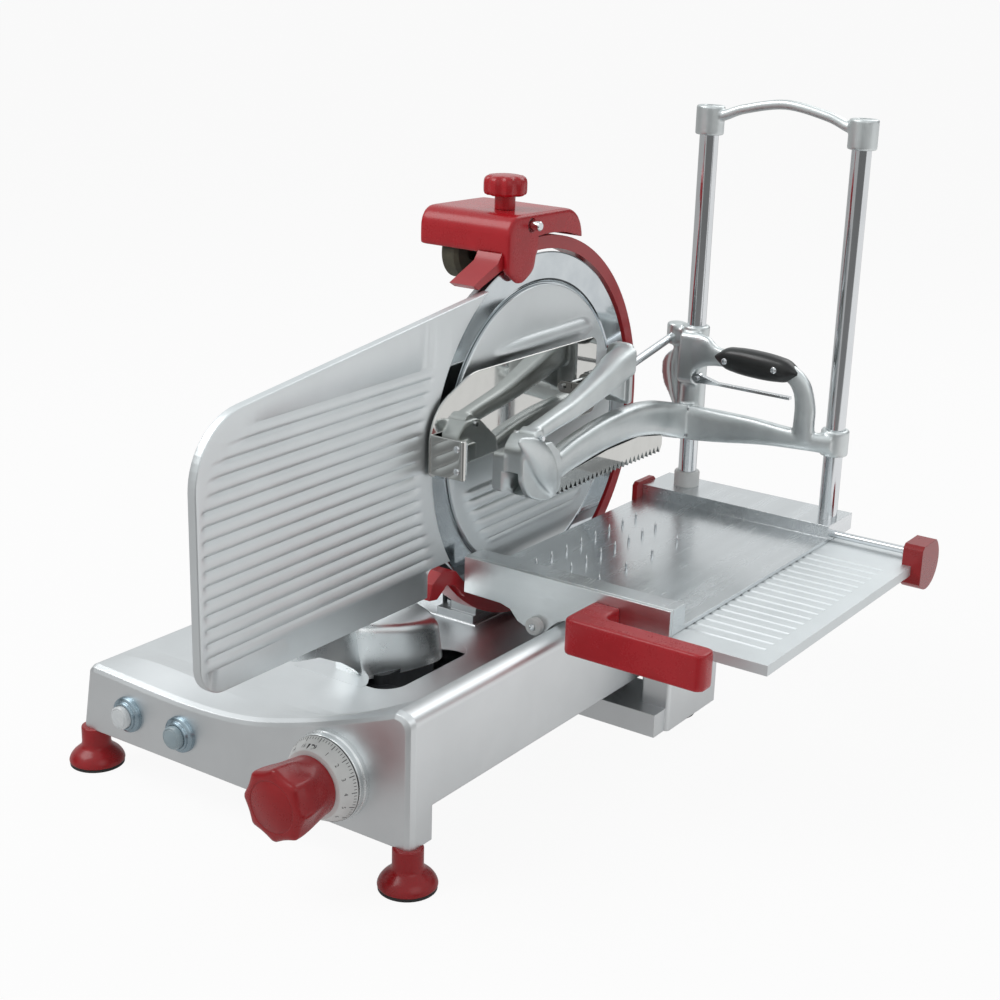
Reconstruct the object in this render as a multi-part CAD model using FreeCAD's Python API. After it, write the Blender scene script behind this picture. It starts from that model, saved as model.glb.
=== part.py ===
"""Vertical meat slicer: round blade, gauge plate, push carriage with a sliding table and a product press.

Millimetres. +X runs from the gauge plate to the product table, +Y away from the operator, +Z up.
Sizes are worked out from the front right foot at (0, 0, 0); the last step moves the whole machine
so that its origin is the centre of its footprint box, on the surface that the feet stand on.
"""
import FreeCAD
import Part
import math
import os

V = FreeCAD.Vector

# ---- clearances -------------------------------------------------------------------------------
RUN = 0.05            # radial clearance of a running fit
SEAT = 0.02           # radial clearance of a part that is pressed or clamped on its shaft
GAP = 0.5             # free gap between parts that pass each other

# ---- base casting -----------------------------------------------------------------------------
foot_span_x = 378.0
foot_span_y = 445.0
foot_inset = 8.7      # from a foot's centre to the outer wall
wall = 6.0
skirt_z = 38.6        # lower edge of the casting
deck_h = 66.4         # flat receiving deck over the lower edge
ridge_h = 57.0        # crest along the right wall, over the deck
deck_z = skirt_z + deck_h
ridge_z = deck_z + ridge_h
left_edge = -foot_span_x - foot_inset
rear_edge = foot_span_y + foot_inset
ridge_in = 17.7       # crest from the right wall
rise_len = 181.0      # run of the rise from the deck to the crest
ridge_x = foot_inset - ridge_in
rise_x = ridge_x - rise_len
front_curve = 1.3     # exponent of the rise at the front wall
valley_curve = 5.0    # exponent of the rise behind it, which leaves a valley beside the ridge
valley_y = 52.0       # the valley has its full depth from here on
side_gap_h = 32.4     # height of the gap under the right wall, for the carriage arm
side_gap_z = skirt_z + side_gap_h
cover_screw_x = (left_edge + 24.7, -140.0)
cover_screw_in = 34.0
leg_depth = 29.5
draft = 10.0          # the left wall leans in by this much
edge_r = 9.0

# ---- feet -------------------------------------------------------------------------------------
foot_r = 26.0
foot_stem_r = 13.5
foot_bell_h = 17.0
pad_h = 2.6
stud_r = 4.0

# ---- switch buttons and thickness knob ----------------------------------------------------------
button_in = 64.7      # first button from the left wall
button_pitch = 67.5
button_rise = 30.4
button_x = (left_edge + button_in, left_edge + button_in + button_pitch)
button_z = skirt_z + button_rise
bezel_r = 17.2
bezel_len = 8.0
button_r = 11.0
button_out = 13.0
button_travel = 3.0
knob_in = 83.3        # knob axis from the right wall
knob_rise = 47.4
knob_x = foot_inset - knob_in
knob_z = skirt_z + knob_rise
dial_bezel_r = 40.0
dial_bezel_len = 11.0
dial_r = 38.4
dial_front_r = 30.5
dial_len = 15.5
knob_back_r = 27.0
knob_front_r = 33.0
knob_len = 49.0
knob_lobes = 8
knob_shaft_r = 5.0
cam_y = 11.0          # close behind the shaft's boss, where the roof is high
cam_w = 9.0
cam_r = 10.0
knob_turn_deg = 330.0
gauge_travel = 20.0

# ---- gauge plate and its carrier ---------------------------------------------------------------
gauge_face_x = -122.0
gauge_t = 9.0
gauge_front_y = -112.0
gauge_clear = 71.0    # lower edge over the deck
gauge_bottom_z = deck_z + gauge_clear
gauge_slope = 0.157
gauge_corner_r = 62.0
gauge_foot_r = 26.0
gauge_ribs = 16
rib_pitch = 12.25
rib_low = 32.6        # lowest groove over the plate's lower edge, at its front
rib_slope = 0.02
rib_h = 1.6
hump_x = (-200.0, -138.0)
hump_fall = 20.0      # drop of the hump's top from front to back
hump_r = 30.0
slot_x = (-216.0, -112.0)
slot_r = 24.0
guide_r = 8.0
guide_drop = 31.0     # guide bars below the deck
guide_z = deck_z - guide_drop
guide_in = 74.7       # left end of the guide bars from the left wall
guide_x = (left_edge + guide_in, -68.0)

# ---- blade group ---------------------------------------------------------------------------------
blade_r = 175.0
blade_gap = 3.0       # between the cutting edge and the ring guard
guard_w = 13.0        # radial width of the ring guard
guard_rise = 7.0      # lowest point of the guard over the deck
blade_back = 89.7     # blade axis to the rear wall
guard_inner_r = blade_r + blade_gap
guard_outer_r = guard_inner_r + guard_w
blade_y = rear_edge - blade_back
blade_z = deck_z + guard_outer_r + guard_rise
gauge_top_in = 70.0   # top edge of the gauge plate below the top of the blade
gauge_top_z = blade_z + blade_r - gauge_top_in   # at the plate's rounded front corner
guard_tip_y = blade_y - guard_inner_r            # foremost point of the ring guard's lower tip
hump_y = (guard_tip_y - 64.0, guard_tip_y + 49.0)
slot_y = (hump_y[0] - 8.0, hump_y[1] + 12.0)
guide_y = (hump_y[0] + 28.0, hump_y[1] - 21.0)
gauge_end_y = blade_y - 74.0         # back end of the gauge plate, over the blade
rib_end_y = blade_y - 102.0
blade_x = -131.6      # plane of the cutting edge
blade_t = 4.4
dish = 3.0            # the middle of the blade lies this deep
cover_r = 143.0
cover_t = 3.0
cover_ribs = 6
hub_r = 30.0
shaft_r = 12.0
tie_r = 4.0
bearing_r = 21.0
bearing_w = 12.0
housing_x = (-154.0, -148.0)
housing_in = 10.0     # the backing disc is this much smaller than the blade
housing_r = blade_r - housing_in
tube_end_x = -200.0
tube_r = 28.0
pedestal_half = 64.0
pedestal_y = (blade_y - pedestal_half, blade_y + pedestal_half)
pulley_x = (-220.0, -206.0)
pulley_r = 50.0
motor_r = 50.0
motor_lift = 11.0     # motor body over the deck
motor_shift = 8.0     # motor axis behind the blade axis
motor_z = deck_z + motor_r + motor_lift
motor_y = blade_y + motor_shift
motor_x = (left_edge + 41.7, -232.0)
motor_pulley_r = 16.0
belt_t = 3.0
drive_wall = 4.0
drive_x = (left_edge + 34.7, -202.0)

# ---- ring guard and sharpener --------------------------------------------------------------------
guard_x = (-152.0, -130.0)
guard_ends = (-138.0, 112.0)
sharp_x = (-229.0, -122.5)
sharp_front = 66.0    # hood's front wall before the blade axis
sharp_len = 128.0
sharp_h = 46.0
sharp_sink = 12.0     # hood's lower edge below the top of the ring guard
sharp_y = (blade_y - sharp_front, blade_y - sharp_front + sharp_len)
sharp_z = (blade_z + guard_outer_r - sharp_sink, blade_z + guard_outer_r - sharp_sink + sharp_h)
sharp_wall = 3.0
sharp_knob_x = -160.0
sharp_knob_y = sharp_y[0] + 44.0
sharp_knob_r = 21.0
sharp_knob_h = 19.0
sharp_stem_r = 10.0
stone_r = 27.0
stone_yz = (sharp_y[0] + 33.0, sharp_z[0] - 6.0)
stone_x = (-206.0, -188.0)

# ---- carriage ------------------------------------------------------------------------------------
plate_x = (-117.0, 207.0)
plate_y = (231.0, 622.0)
plate_rise = 18.0     # top of the fluted plate over the crest
plate_z = ridge_z + plate_rise
plate_t = 10.0
plate_back_y = plate_y[1] - 39.0
flutes = 18
flute_pitch = 15.2
flute_r = 3.2
fence_t = 5.0
fence_top_z = plate_z + 25.0
belly_drop = 18.0
belly_z = plate_z - plate_t - belly_drop
arm_gap = 1.5
arm_x = (foot_stem_r + arm_gap, 48.0)
arm_len = 100.0
arm_y = (rear_edge - 1.7 - arm_len, rear_edge - 1.7)
arm_bottom_z = foot_bell_h + 7.0
rail_in = 48.7        # rail axis from the right wall
rail_rise = 23.4
rail_x = foot_inset - rail_in
rail_z = skirt_z + rail_rise
rail_r = 10.0
rail_boss_r = 18.0
rail_boss_y = (arm_y[0] - 20.0, arm_y[0] + 48.0)
cross_rod_r = 4.0
cross_rod_y = plate_y[1] - 47.0
cross_rod_z = plate_z + 7.0
cap_t = 21.0
handle_x = (30.0, 172.0)
handle_y = (plate_y[0] - 53.0, plate_y[0] - 29.0)
handle_z = (plate_z - 19.0, plate_z + 16.0)

# ---- sliding table and portal ------------------------------------------------------------------------
table_x = (-116.7, 109.0)
table_floor_t = 4.0
front_rim = 22.0
back_rim_w = 59.0
back_rim_h = 18.0
back_rim_y = plate_y[1] - back_rim_w
back_rim_z = plate_z + back_rim_h
spike_r = 1.3
spike_h = 9.0
rod_r = 10.0
rod_y = back_rim_y + 31.0
rod_x = (-79.0, 93.0)
rod_len = 426.0       # rods over the fluted plate
rod_top_z = plate_z + rod_len
cap_r = 15.0
cap_h = 30.0
cap_over = 5.0        # cap above the rod's end
screw_sink = 3.0      # recess of the cap's screw
cap_z = (rod_top_z + cap_over - cap_h, rod_top_z + cap_over)
arch_rise = 13.0
arch_w = 11.0
arch_t = 9.0
collar_r = 14.0
collar_h = 17.0

# ---- press -----------------------------------------------------------------------------------------
sleeve_r = 14.5
sleeve_z = (plate_z + 82.0, plate_z + 199.0)
boss_z = (plate_z + 86.0, plate_z + 114.0)
beam_y = (rod_y - 26.0, rod_y - 12.0)
arm_in_x = (-89.0, -67.0)
jaw_y = beam_y[0] - 263.0
grip_x = (-42.0, 55.0)
grip_z = plate_z + 165.0
grip_h = 15.0
claw_x = (-86.0, -66.0)
claw_pivot = (jaw_y - 29.0, plate_z + 142.0)
claw_len = 170.0
claw_end_y = claw_pivot[0] + claw_len
pusher_x = (-119.0, -116.5)
pusher_y = (rod_y - 420.0, rod_y - 142.0)
pusher_z = (plate_z + 116.0, plate_z + 204.0)
pusher_pin = (pusher_x[0] + 13.0, plate_z + 157.0)
pusher_pin_r = 3.0
pusher_rod_r = 4.4
pusher_rod_top = (rod_x[0] - 24.0, rod_y + 4.0, plate_z + 188.0)


# ---- small helpers ---------------------------------------------------------------------------------
def box(x, y, z):
    """Block between the pairs of limits x, y and z."""
    return Part.makeBox(x[1] - x[0], y[1] - y[0], z[1] - z[0], V(x[0], y[0], z[0]))


def rod_x_axis(r, x, y, z):
    """Cylinder along X between the limits x, centred on y and z."""
    return Part.makeCylinder(r, x[1] - x[0], V(x[0], y, z), V(1, 0, 0))


def rod_y_axis(r, x, y, z):
    """Cylinder along Y between the limits y, centred on x and z."""
    return Part.makeCylinder(r, y[1] - y[0], V(x, y[0], z), V(0, 1, 0))


def rod_z_axis(r, x, y, z):
    """Cylinder along Z between the limits z, centred on x and y."""
    return Part.makeCylinder(r, z[1] - z[0], V(x, y, z[0]), V(0, 0, 1))


def prism(points, direction):
    """Solid swept from a closed polygon of 3-D points along a direction vector."""
    corners = [V(*p) for p in points]
    face = Part.Face(Part.makePolygon(corners + [corners[0]]))
    return face.extrude(V(*direction))


def prism_yz(points, x):
    """Solid between the limits x with a polygon of (y, z) points."""
    return prism([(x[0], y, z) for y, z in points], (x[1] - x[0], 0, 0))


def prism_xz(points, y):
    """Solid between the limits y with a polygon of (x, z) points."""
    return prism([(px, y[0], z) for px, z in points], (0, y[1] - y[0], 0))


def turned(points, origin, axis):
    """Solid of revolution from (radius, distance along the axis) points."""
    corners = [V(r, 0, d) for r, d in points]
    face = Part.Face(Part.makePolygon(corners + [corners[0]]))
    solid = face.revolve(V(0, 0, 0), V(0, 0, 1), 360)
    solid.Placement = FreeCAD.Placement(V(*origin), FreeCAD.Rotation(V(0, 0, 1), V(*axis)))
    return solid


def fused(shapes, merge_faces=True):
    """One solid from shapes that touch or overlap, with its coplanar faces merged."""
    whole = shapes[0]
    for shape in shapes[1:]:
        whole = whole.fuse(shape)
    return whole.removeSplitter() if merge_faces else whole


def minus(shape, cutters):
    """The shape less every cutter."""
    for cutter in cutters:
        shape = shape.cut(cutter)
    return shape


def group(shapes):
    """Separate solids that share one node."""
    return Part.makeCompound(shapes)


def along(edge, direction):
    """True when a straight edge runs along a direction."""
    if not isinstance(edge.Curve, Part.Line):
        return False
    run = edge.Vertexes[-1].Point.sub(edge.Vertexes[0].Point)
    run.normalize()
    return abs(abs(run.dot(V(*direction))) - 1) < 1e-4


def rounded(shape, radius, direction, keep=None):
    """Fillet the straight edges along a direction, all of them or those that keep() picks."""
    picked = [e for e in shape.Edges if along(e, direction)]
    if keep:
        picked = [e for e in picked if keep(e.CenterOfMass)]
    return shape.makeFillet(radius, picked)


def cap_screw(radius, length, origin, axis):
    """Socket-head screw: head from the origin outwards along the axis, shank the other way."""
    head_h = radius
    points = [(0, -length), (radius * 0.55, -length), (radius * 0.55, 0), (radius, 0), (radius, head_h)]
    points = points + [(radius * 0.5, head_h), (radius * 0.5, head_h * 0.45), (0, head_h * 0.45)]
    return turned(points, origin, axis)


# ---- base ------------------------------------------------------------------------------------------
base_x = (-foot_span_x - foot_inset, foot_inset)
base_y = (-foot_inset, foot_span_y + foot_inset)
feet_xy = [(0, 0), (-foot_span_x, 0), (0, foot_span_y), (-foot_span_x, foot_span_y)]


def rise(x, curve):
    """Height of the top surface at x for a given exponent of the rise."""
    share = max(0.0, (x - rise_x) / (ridge_x - rise_x))
    return deck_z + (ridge_z - deck_z) * share ** curve


def section(y, curve, inset, bottom):
    """Closed outline of the casting at y, drawn in by inset on the sides and top."""
    left = base_x[0] + inset
    right = base_x[1] - inset
    top_left = left + draft
    corner = edge_r - min(inset, edge_r - 2.0)
    deck = deck_z - inset
    steps = 8
    xs = [rise_x + (ridge_x - rise_x) * i / steps for i in range(steps + 1)]
    top = [V(top_left + corner, y, deck)] + [V(x, y, rise(x, curve) - inset) for x in xs]
    shoulder = V(right, y, ridge_z - inset - 1.3 * edge_r)
    bend = Part.BezierCurve()
    bend.setPoles([shoulder, V(right, y, ridge_z - inset), top[-1]])
    spline = Part.BSplineCurve()
    spline.interpolate(top)
    corner_start = V(top_left, y, deck - corner)
    corner_mid = V(top_left + 0.3 * corner, y, deck - 0.3 * corner)
    edges = [Part.makeLine(V(left, y, bottom), V(right, y, bottom))]
    edges.append(Part.makeLine(V(right, y, bottom), shoulder))
    edges.append(bend.toShape())
    edges.append(spline.toShape())
    edges.append(Part.Arc(top[0], corner_mid, corner_start).toShape())
    edges.append(Part.makeLine(corner_start, V(left, y, bottom)))
    return Part.Wire(Part.__sortEdges__(edges))


def loft_body(inset, bottom):
    """Solid through the sections of the casting, for its outside or its hollow."""
    near, far = base_y[0] + inset, base_y[1] - inset
    stations = [(near, front_curve, 6.0), (near + 2.0, front_curve, 2.2), (near + 7.0, front_curve, 0.0)]
    if inset:
        stations = [(near, front_curve, 0.0)]
    stations += [(valley_y * 0.48, 1.8, 0.0), (valley_y * 0.77, 3.2, 0.0), (valley_y, valley_curve, 0.0)]
    if inset:
        stations += [(far, valley_curve, 0.0)]
    else:
        stations += [(far - 7.0, valley_curve, 0.0), (far - 2.0, valley_curve, 2.2),
                     (far, valley_curve, 6.0)]
    wires = [section(y, curve, inset + extra, bottom) for y, curve, extra in stations]
    return Part.makeLoft(wires, True, True)


def base_housing():
    """Cast shell: deck, ridge and valley, with posts, bosses and openings for what it carries."""
    outer = loft_body(0.0, skirt_z)
    shell = outer.cut(loft_body(wall, skirt_z - 1.0))
    post = 20.0
    posts = []
    for fx, fy in feet_xy:
        x = (base_x[0], fx + post - foot_inset) if fx < 0 else (fx - post + foot_inset, base_x[1])
        front, rear = (base_y[0], fy + leg_depth - foot_inset), (fy - leg_depth + foot_inset, base_y[1])
        y = front if fy == 0 else rear
        posts.append(box(x, y, (skirt_z, deck_z - 2.0)).common(outer))
    boss_len = 12.0
    inner_y = (base_y[0] + wall, base_y[1] - wall)
    for y in ((base_y[0] + 1.0, inner_y[0] + boss_len), (inner_y[1] - boss_len, base_y[1] - 1.0)):
        posts.append(rod_y_axis(rail_r + 6.0, rail_x, y, rail_z))
    posts.append(rod_y_axis(knob_shaft_r + 8.0, knob_x, (base_y[0] + 1.0, inner_y[0] + boss_len), knob_z))
    block_t = 12.0
    for x in ((guide_x[0], guide_x[0] + block_t), (guide_x[1] - block_t, guide_x[1])):
        y = (guide_y[0] - 14.0, guide_y[1] + 14.0)
        posts.append(box(x, y, (guide_z - 14.0, deck_z - 1.0)).common(outer))
    for x, y in cover_screw_xy():
        posts.append(rod_z_axis(7.0, x, y, (skirt_z + 3.0, deck_z - 1.0)))
    pad = box((housing_pad_x()), (pedestal_y[0] - 6.0, pedestal_y[1] + 6.0), (deck_z - 2.0, deck_z + 1.0))
    body = fused([shell] + posts + [pad], False)
    side = box((base_x[1] - wall - 1.0, base_x[1] + 1.0),
               (base_y[0] + leg_depth, base_y[1] - leg_depth), (skirt_z - 5.0, side_gap_z))
    slot = box(slot_x, slot_y, (deck_z - wall - 8.0, deck_z + 30.0))
    slot = rounded(slot, slot_r, (0, 0, 1))
    holes = [side, slot]
    holes.append(rod_y_axis(rail_r + SEAT, rail_x, (inner_y[0] - 1.0, inner_y[1] + 1.0), rail_z))
    holes.append(rod_y_axis(knob_shaft_r + RUN, knob_x, (base_y[0] - 1.0, inner_y[0] + boss_len + 1.0),
                            knob_z))
    for x in button_x:
        holes.append(rod_y_axis(button_r + 2.0, x, (base_y[0] - 1.0, inner_y[0] + 1.0), button_z))
    for y in guide_y:
        holes.append(rod_x_axis(guide_r + SEAT, guide_x, y, guide_z))
    for x, y in cover_screw_xy():
        holes.append(rod_z_axis(2.2, x, y, (skirt_z, skirt_z + 18.0)))
    for x, y in feet_xy:
        holes.append(rod_z_axis(stud_r + SEAT, x, y, (skirt_z - 1.0, skirt_z + 26.0)))
    return minus(body, holes)


def housing_pad_x():
    """Limits in X of the machined pad that the blade housing and the drive cover stand on."""
    return (drive_x[0] - 4.0, housing_x[1])


def cover_screw_xy():
    """Places of the bottom cover's screws."""
    return [(x, y) for x in cover_screw_x for y in (cover_screw_in, foot_span_y - cover_screw_in)]


def bottom_cover():
    """Sheet under the mechanism, left of the carriage channel, cut round the foot posts."""
    x = (base_x[0] + wall + 3 * GAP, -100.0)
    y = (base_y[0] + wall + GAP, base_y[1] - wall - GAP)
    z = (skirt_z + 1.0, skirt_z + 3.0)
    plate = box(x, y, z)
    cuts = [box((x[0] - 1, -foot_span_x + 20.0 - foot_inset + GAP), (fy - 30.0, fy + 30.0),
                (z[0] - 1, z[1] + 1))
            for fy in (0.0, foot_span_y)]
    cuts += [rod_z_axis(2.4, sx, sy, (z[0] - 1, z[1] + 1)) for sx, sy in cover_screw_xy()]
    return minus(plate, cuts)


def foot(x, y):
    """Bell-shaped plastic foot with a cylindrical stem."""
    top = foot_bell_h
    points = [(0, pad_h), (foot_r - 1.0, pad_h), (foot_r, pad_h + 1.6), (foot_r * 0.93, pad_h + 5.0)]
    points += [(foot_r * 0.76, top * 0.66), (foot_stem_r + 2.2, top * 0.86), (foot_stem_r, top),
               (foot_stem_r, skirt_z)]
    points += [(0, skirt_z)]
    body = turned(points, (x, y, 0), (0, 0, 1))
    return body.cut(rod_z_axis(stud_r + SEAT, x, y, (pad_h + 8.0, skirt_z + 1.0)))


def foot_pad(x, y):
    """Rubber disc under a foot."""
    return rod_z_axis(foot_r - 0.6, x, y, (0.0, pad_h))


# ---- buttons and knob -----------------------------------------------------------------------------------
def button_bezel(x):
    """Stepped collar of a push button with its barrel behind the wall."""
    y = base_y[0]
    points = [(button_r + 2 * RUN, -bezel_len), (bezel_r - 4.0, -bezel_len),
              (bezel_r - 3.2, -bezel_len * 0.6)]
    points += [(bezel_r - 0.8, -bezel_len * 0.5), (bezel_r, -bezel_len * 0.2), (bezel_r, 0.0),
               (button_r + 1.8, 0.0)]
    points += [(button_r + 1.8, wall), (bezel_r - 2.0, wall), (bezel_r - 2.0, wall + 26.0)]
    points += [(0, wall + 26.0), (0, wall + 20.0), (button_r + 2 * RUN, wall + 20.0)]
    return turned(points, (x, y, button_z), (0, 1, 0))


def push_button(x):
    """Plunger of a push button, with a domed cap."""
    y = base_y[0]
    end = wall + 20.0 - button_travel - 1.0
    points = [(0, -button_out - 1.2), (button_r - 3.0, -button_out - 0.8), (button_r - 0.6, -button_out)]
    points += [(button_r, -button_out + 1.0), (button_r, end), (0, end)]
    return turned(points, (x, y, button_z), (0, 1, 0))


def dial_bezel():
    """Turned metal ring on the front wall, behind the dial."""
    y = base_y[0]
    points = [(knob_shaft_r + 3.0, 0.0), (dial_bezel_r, 0.0), (dial_bezel_r, -dial_bezel_len * 0.45)]
    points += [(dial_bezel_r - 1.6, -dial_bezel_len), (knob_shaft_r + 3.0, -dial_bezel_len)]
    return turned(points, (knob_x, y, knob_z), (0, 1, 0))


def dial_front():
    """Y of the dial ring's back and front faces."""
    back = base_y[0] - dial_bezel_len - GAP
    return back, back - dial_len


def dial_ring():
    """Cone-shaped numbered ring that turns with the knob."""
    back, front = dial_front()
    points = [(knob_shaft_r + SEAT, back), (dial_r, back), (dial_r, back - 1.6), (dial_front_r, front)]
    points += [(knob_shaft_r + SEAT, front)]
    return turned(points, (knob_x, 0, knob_z), (0, 1, 0))


def thickness_knob():
    """Flared hand knob with scooped finger grips."""
    back = dial_front()[1]
    front = back - knob_len
    points = [(knob_shaft_r + SEAT, back), (knob_back_r, back), (knob_back_r + 0.4, back - knob_len * 0.35)]
    points += [(knob_front_r - 1.0, back - knob_len * 0.8), (knob_front_r, back - knob_len * 0.93)]
    points += [(knob_front_r - 3.0, front + 0.8), (knob_front_r - 9.0, front), (0, front),
               (0, back - knob_len * 0.7)]
    points += [(knob_shaft_r + SEAT, back - knob_len * 0.7)]
    knob = turned(points, (knob_x, 0, knob_z), (0, 1, 0))
    scoop_r = 9.0
    scoops = []
    for i in range(knob_lobes):
        angle = 2 * math.pi * (i + 0.5) / knob_lobes
        reach = knob_front_r + scoop_r - 3.4
        sx = knob_x + reach * math.cos(angle)
        sz = knob_z + reach * math.sin(angle)
        scoops.append(rod_y_axis(scoop_r, sx, (front - 1.0, back - knob_len * 0.25), sz))
    return minus(knob, scoops)


def knob_shaft():
    """Shaft from the knob to the cam inside the base."""
    back = dial_front()[1]
    return rod_y_axis(knob_shaft_r, knob_x, (back - knob_len * 0.68, cam_y + cam_w + 3.0), knob_z)


def thickness_cam():
    """Spiral cam: its radius towards the gauge grows evenly as the knob is turned."""
    count = 44
    lead, tail = 18.0, 4.0
    points = []
    for i in range(count + 1):
        swept = (lead + knob_turn_deg + tail) * i / count
        angle = math.radians(180.0 + lead - swept)
        radius = cam_r + gauge_travel * min(1.0, max(0.0, (swept - lead) / knob_turn_deg))
        points.append(V(knob_x + radius * math.cos(angle), cam_y, knob_z + radius * math.sin(angle)))
    spiral = Part.BSplineCurve()
    spiral.interpolate(points)
    wire = Part.Wire([spiral.toShape(), Part.makeLine(points[-1], points[0])])
    cam = Part.Face(wire).extrude(V(0, cam_w, 0))
    hub = rod_y_axis(knob_shaft_r + 3.5, knob_x, (cam_y, cam_y + cam_w), knob_z)
    return fused([cam, hub]).cut(rod_y_axis(knob_shaft_r + SEAT, knob_x, (cam_y - 1, cam_y + cam_w + 1),
                                            knob_z))


# ---- gauge plate ----------------------------------------------------------------------------------------
gauge_x = (gauge_face_x - gauge_t, gauge_face_x)


def gauge_top(y):
    """Height of the gauge plate's sloping top edge at y."""
    return gauge_top_z + gauge_slope * (y - gauge_front_y - 0.8 * gauge_corner_r)


def blade_disc(radius, x):
    """Cylinder about the blade's axis between the limits x."""
    return rod_x_axis(radius, x, blade_y, blade_z)


def gauge_plate():
    """Ribbed plate in front of the blade, with a concave edge that clears it."""
    outline = [(gauge_front_y, gauge_bottom_z), (gauge_end_y, gauge_bottom_z),
               (gauge_end_y, gauge_top(gauge_end_y)),
               (gauge_front_y, gauge_top(gauge_front_y))]
    plate = prism_yz(outline, gauge_x)
    plate = rounded(plate, gauge_corner_r, (1, 0, 0), lambda c: c.y < 0 and c.z > blade_z)
    plate = rounded(plate, gauge_foot_r, (1, 0, 0), lambda c: c.y < 0 and c.z < blade_z)
    wide = (gauge_x[0] - 1.0, gauge_x[1] + 1.0)
    tip_space = box(wide, (guard_tip_y - 5.0, gauge_end_y + 1.0), (0.0, blade_z - 100.0))
    plate = minus(plate, [blade_disc(guard_inner_r + 0.6, wide), tip_space])
    return plate.cut(group(rib_grooves())) if rib_h else plate


def rib_grooves():
    """Shallow grooves, almost level, which leave the ribs between them."""
    grooves = []
    run = (gauge_front_y + 8.0, rib_end_y)
    half = rib_pitch * 0.22
    for i in range(gauge_ribs):
        start = gauge_bottom_z + rib_low + rib_pitch * i
        end = start + rib_slope * (run[1] - run[0])
        corners = [(run[0], start - half), (run[1], end - half), (run[1], end + half), (run[0], start + half)]
        groove = prism_yz(corners, (gauge_x[1] - rib_h, gauge_x[1] + 1.0))
        grooves.append(groove.common(rib_field()))
    return grooves


def rib_field():
    """Region of the gauge plate that carries ribs: a border stays plain."""
    border = 10.0
    y = (gauge_front_y + border, rib_end_y)
    low = gauge_bottom_z + 20.0
    field = prism_yz([(y[0], low), (y[1], low), (y[1], gauge_top(y[1]) - border),
                      (y[0], gauge_top(y[0]) - border)], (gauge_x[1] - rib_h, gauge_x[1] + 1.0))
    field = rounded(field, gauge_corner_r - border, (1, 0, 0), lambda c: c.y < 0 and c.z > blade_z)
    return field.cut(blade_disc(guard_inner_r + 22.0, (gauge_x[0] - 5.0, gauge_x[1] + 5.0)))


def gauge_carrier():
    """Casting under the gauge plate: hump on the deck, stem through the slot, bushes and cam arm."""
    seat_z = gauge_bottom_z
    side = [(hump_x[0], deck_z + 2.5), (hump_x[1], deck_z + 2.5), (hump_x[1], seat_z - 24.0),
            (hump_x[1] - 9.0, seat_z - 10.0), (hump_x[0], seat_z - 10.0)]
    hump = prism_xz(side, hump_y)
    hump = rounded(hump, hump_r, (0, 0, 1), lambda c: c.x > (hump_x[0] + hump_x[1]) / 2)
    hump = rounded(hump, 10.0, (0, 1, 0), lambda c: c.x > hump_x[1] - 12.0 and c.z > deck_z + 20.0)
    crest = seat_z - 14.0
    fall = prism_yz([(hump_y[0] - 1.0, crest), (hump_y[1] + 1.0, crest - hump_fall), (hump_y[1] + 1.0, seat_z),
                     (hump_y[0] - 1.0, seat_z)], (hump_x[0] - 1.0, hump_x[1] + 1.0))
    hump = hump.cut(fall)
    saddle_y = (hump_y[0] - 62.0, guard_tip_y - 8.0)
    web_x = (gauge_x[0] - 18.0, gauge_x[0])
    web = prism_yz([(saddle_y[0], seat_z), (hump_y[0] - 6.0, deck_z + 20.0), (saddle_y[1], deck_z + 20.0),
                    (saddle_y[1], seat_z + 80.0), (saddle_y[0] + 50.0, seat_z + 80.0)], web_x)
    saddle = box((gauge_x[0] - 18.0, gauge_x[1]), (hump_y[0] + 14.0, saddle_y[1]), (seat_z - 14.0, seat_z))
    stem_y = (guide_y[0] - 10.0, guide_y[1] + 12.0)
    stem = box((hump_x[0] + 8.0, hump_x[1] - 4.0), stem_y, (guide_z - 13.0, deck_z + 5.0))
    stem = rounded(stem, 12.0, (0, 0, 1))
    arm_x_limits = (knob_x - cam_r - 20.0, knob_x - cam_r - 2.0)
    arm_z = (guide_z + guide_r + GAP, knob_z + 8.0)
    reach = box(arm_x_limits, (cam_y + cam_w + 3.5, guide_y[0]), arm_z)
    bridge = box((hump_x[0] + 8.0, arm_x_limits[1]), (guide_y[0] - 14.0, guide_y[0]), arm_z)
    follower_r = 4.0
    follower_x = knob_x - cam_r - follower_r - 0.6
    follower = rod_y_axis(follower_r, follower_x, (cam_y, cam_y + cam_w + 8.0), knob_z)
    body = fused([hump, web, saddle, stem, reach, bridge, follower])
    cuts = [blade_disc(guard_outer_r + 5.0, (hump_x[0] - 1.0, gauge_x[1] + 20.0))]
    tip_drop = 8.0
    cuts.append(box((gauge_x[0] - 30.0, gauge_x[1] + 5.0), (guard_tip_y - 8.0, hump_y[1] + 5.0),
                    (seat_z - tip_drop - 6.0, seat_z + 100.0)))
    for y in guide_y:
        cuts.append(rod_x_axis(guide_r + RUN, (hump_x[0] - 10.0, hump_x[1] + 10.0), y, guide_z))
    for y, z in gauge_screw_yz():
        cuts.append(rod_x_axis(2.2, (web_x[0] - 1.0, web_x[1]), y, z))
    return minus(body, cuts)


def gauge_screw_yz():
    """Places of the screws that hold the gauge plate to its carrier."""
    return [(y, z) for y in (hump_y[0] - 2.0, hump_y[0] + 40.0)
            for z in (gauge_bottom_z + 22.0, gauge_bottom_z + 62.0)]


def gauge_screws():
    """Screws from behind, through the carrier's web up to the plate."""
    back = gauge_x[0] - 18.0
    return group([cap_screw(4.0, 18.0, (back, y, z), (-1, 0, 0)) for y, z in gauge_screw_yz()])


def gauge_guide_rods():
    """Two round bars that the carrier slides on."""
    return group([rod_x_axis(guide_r, guide_x, y, guide_z) for y in guide_y])


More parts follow.
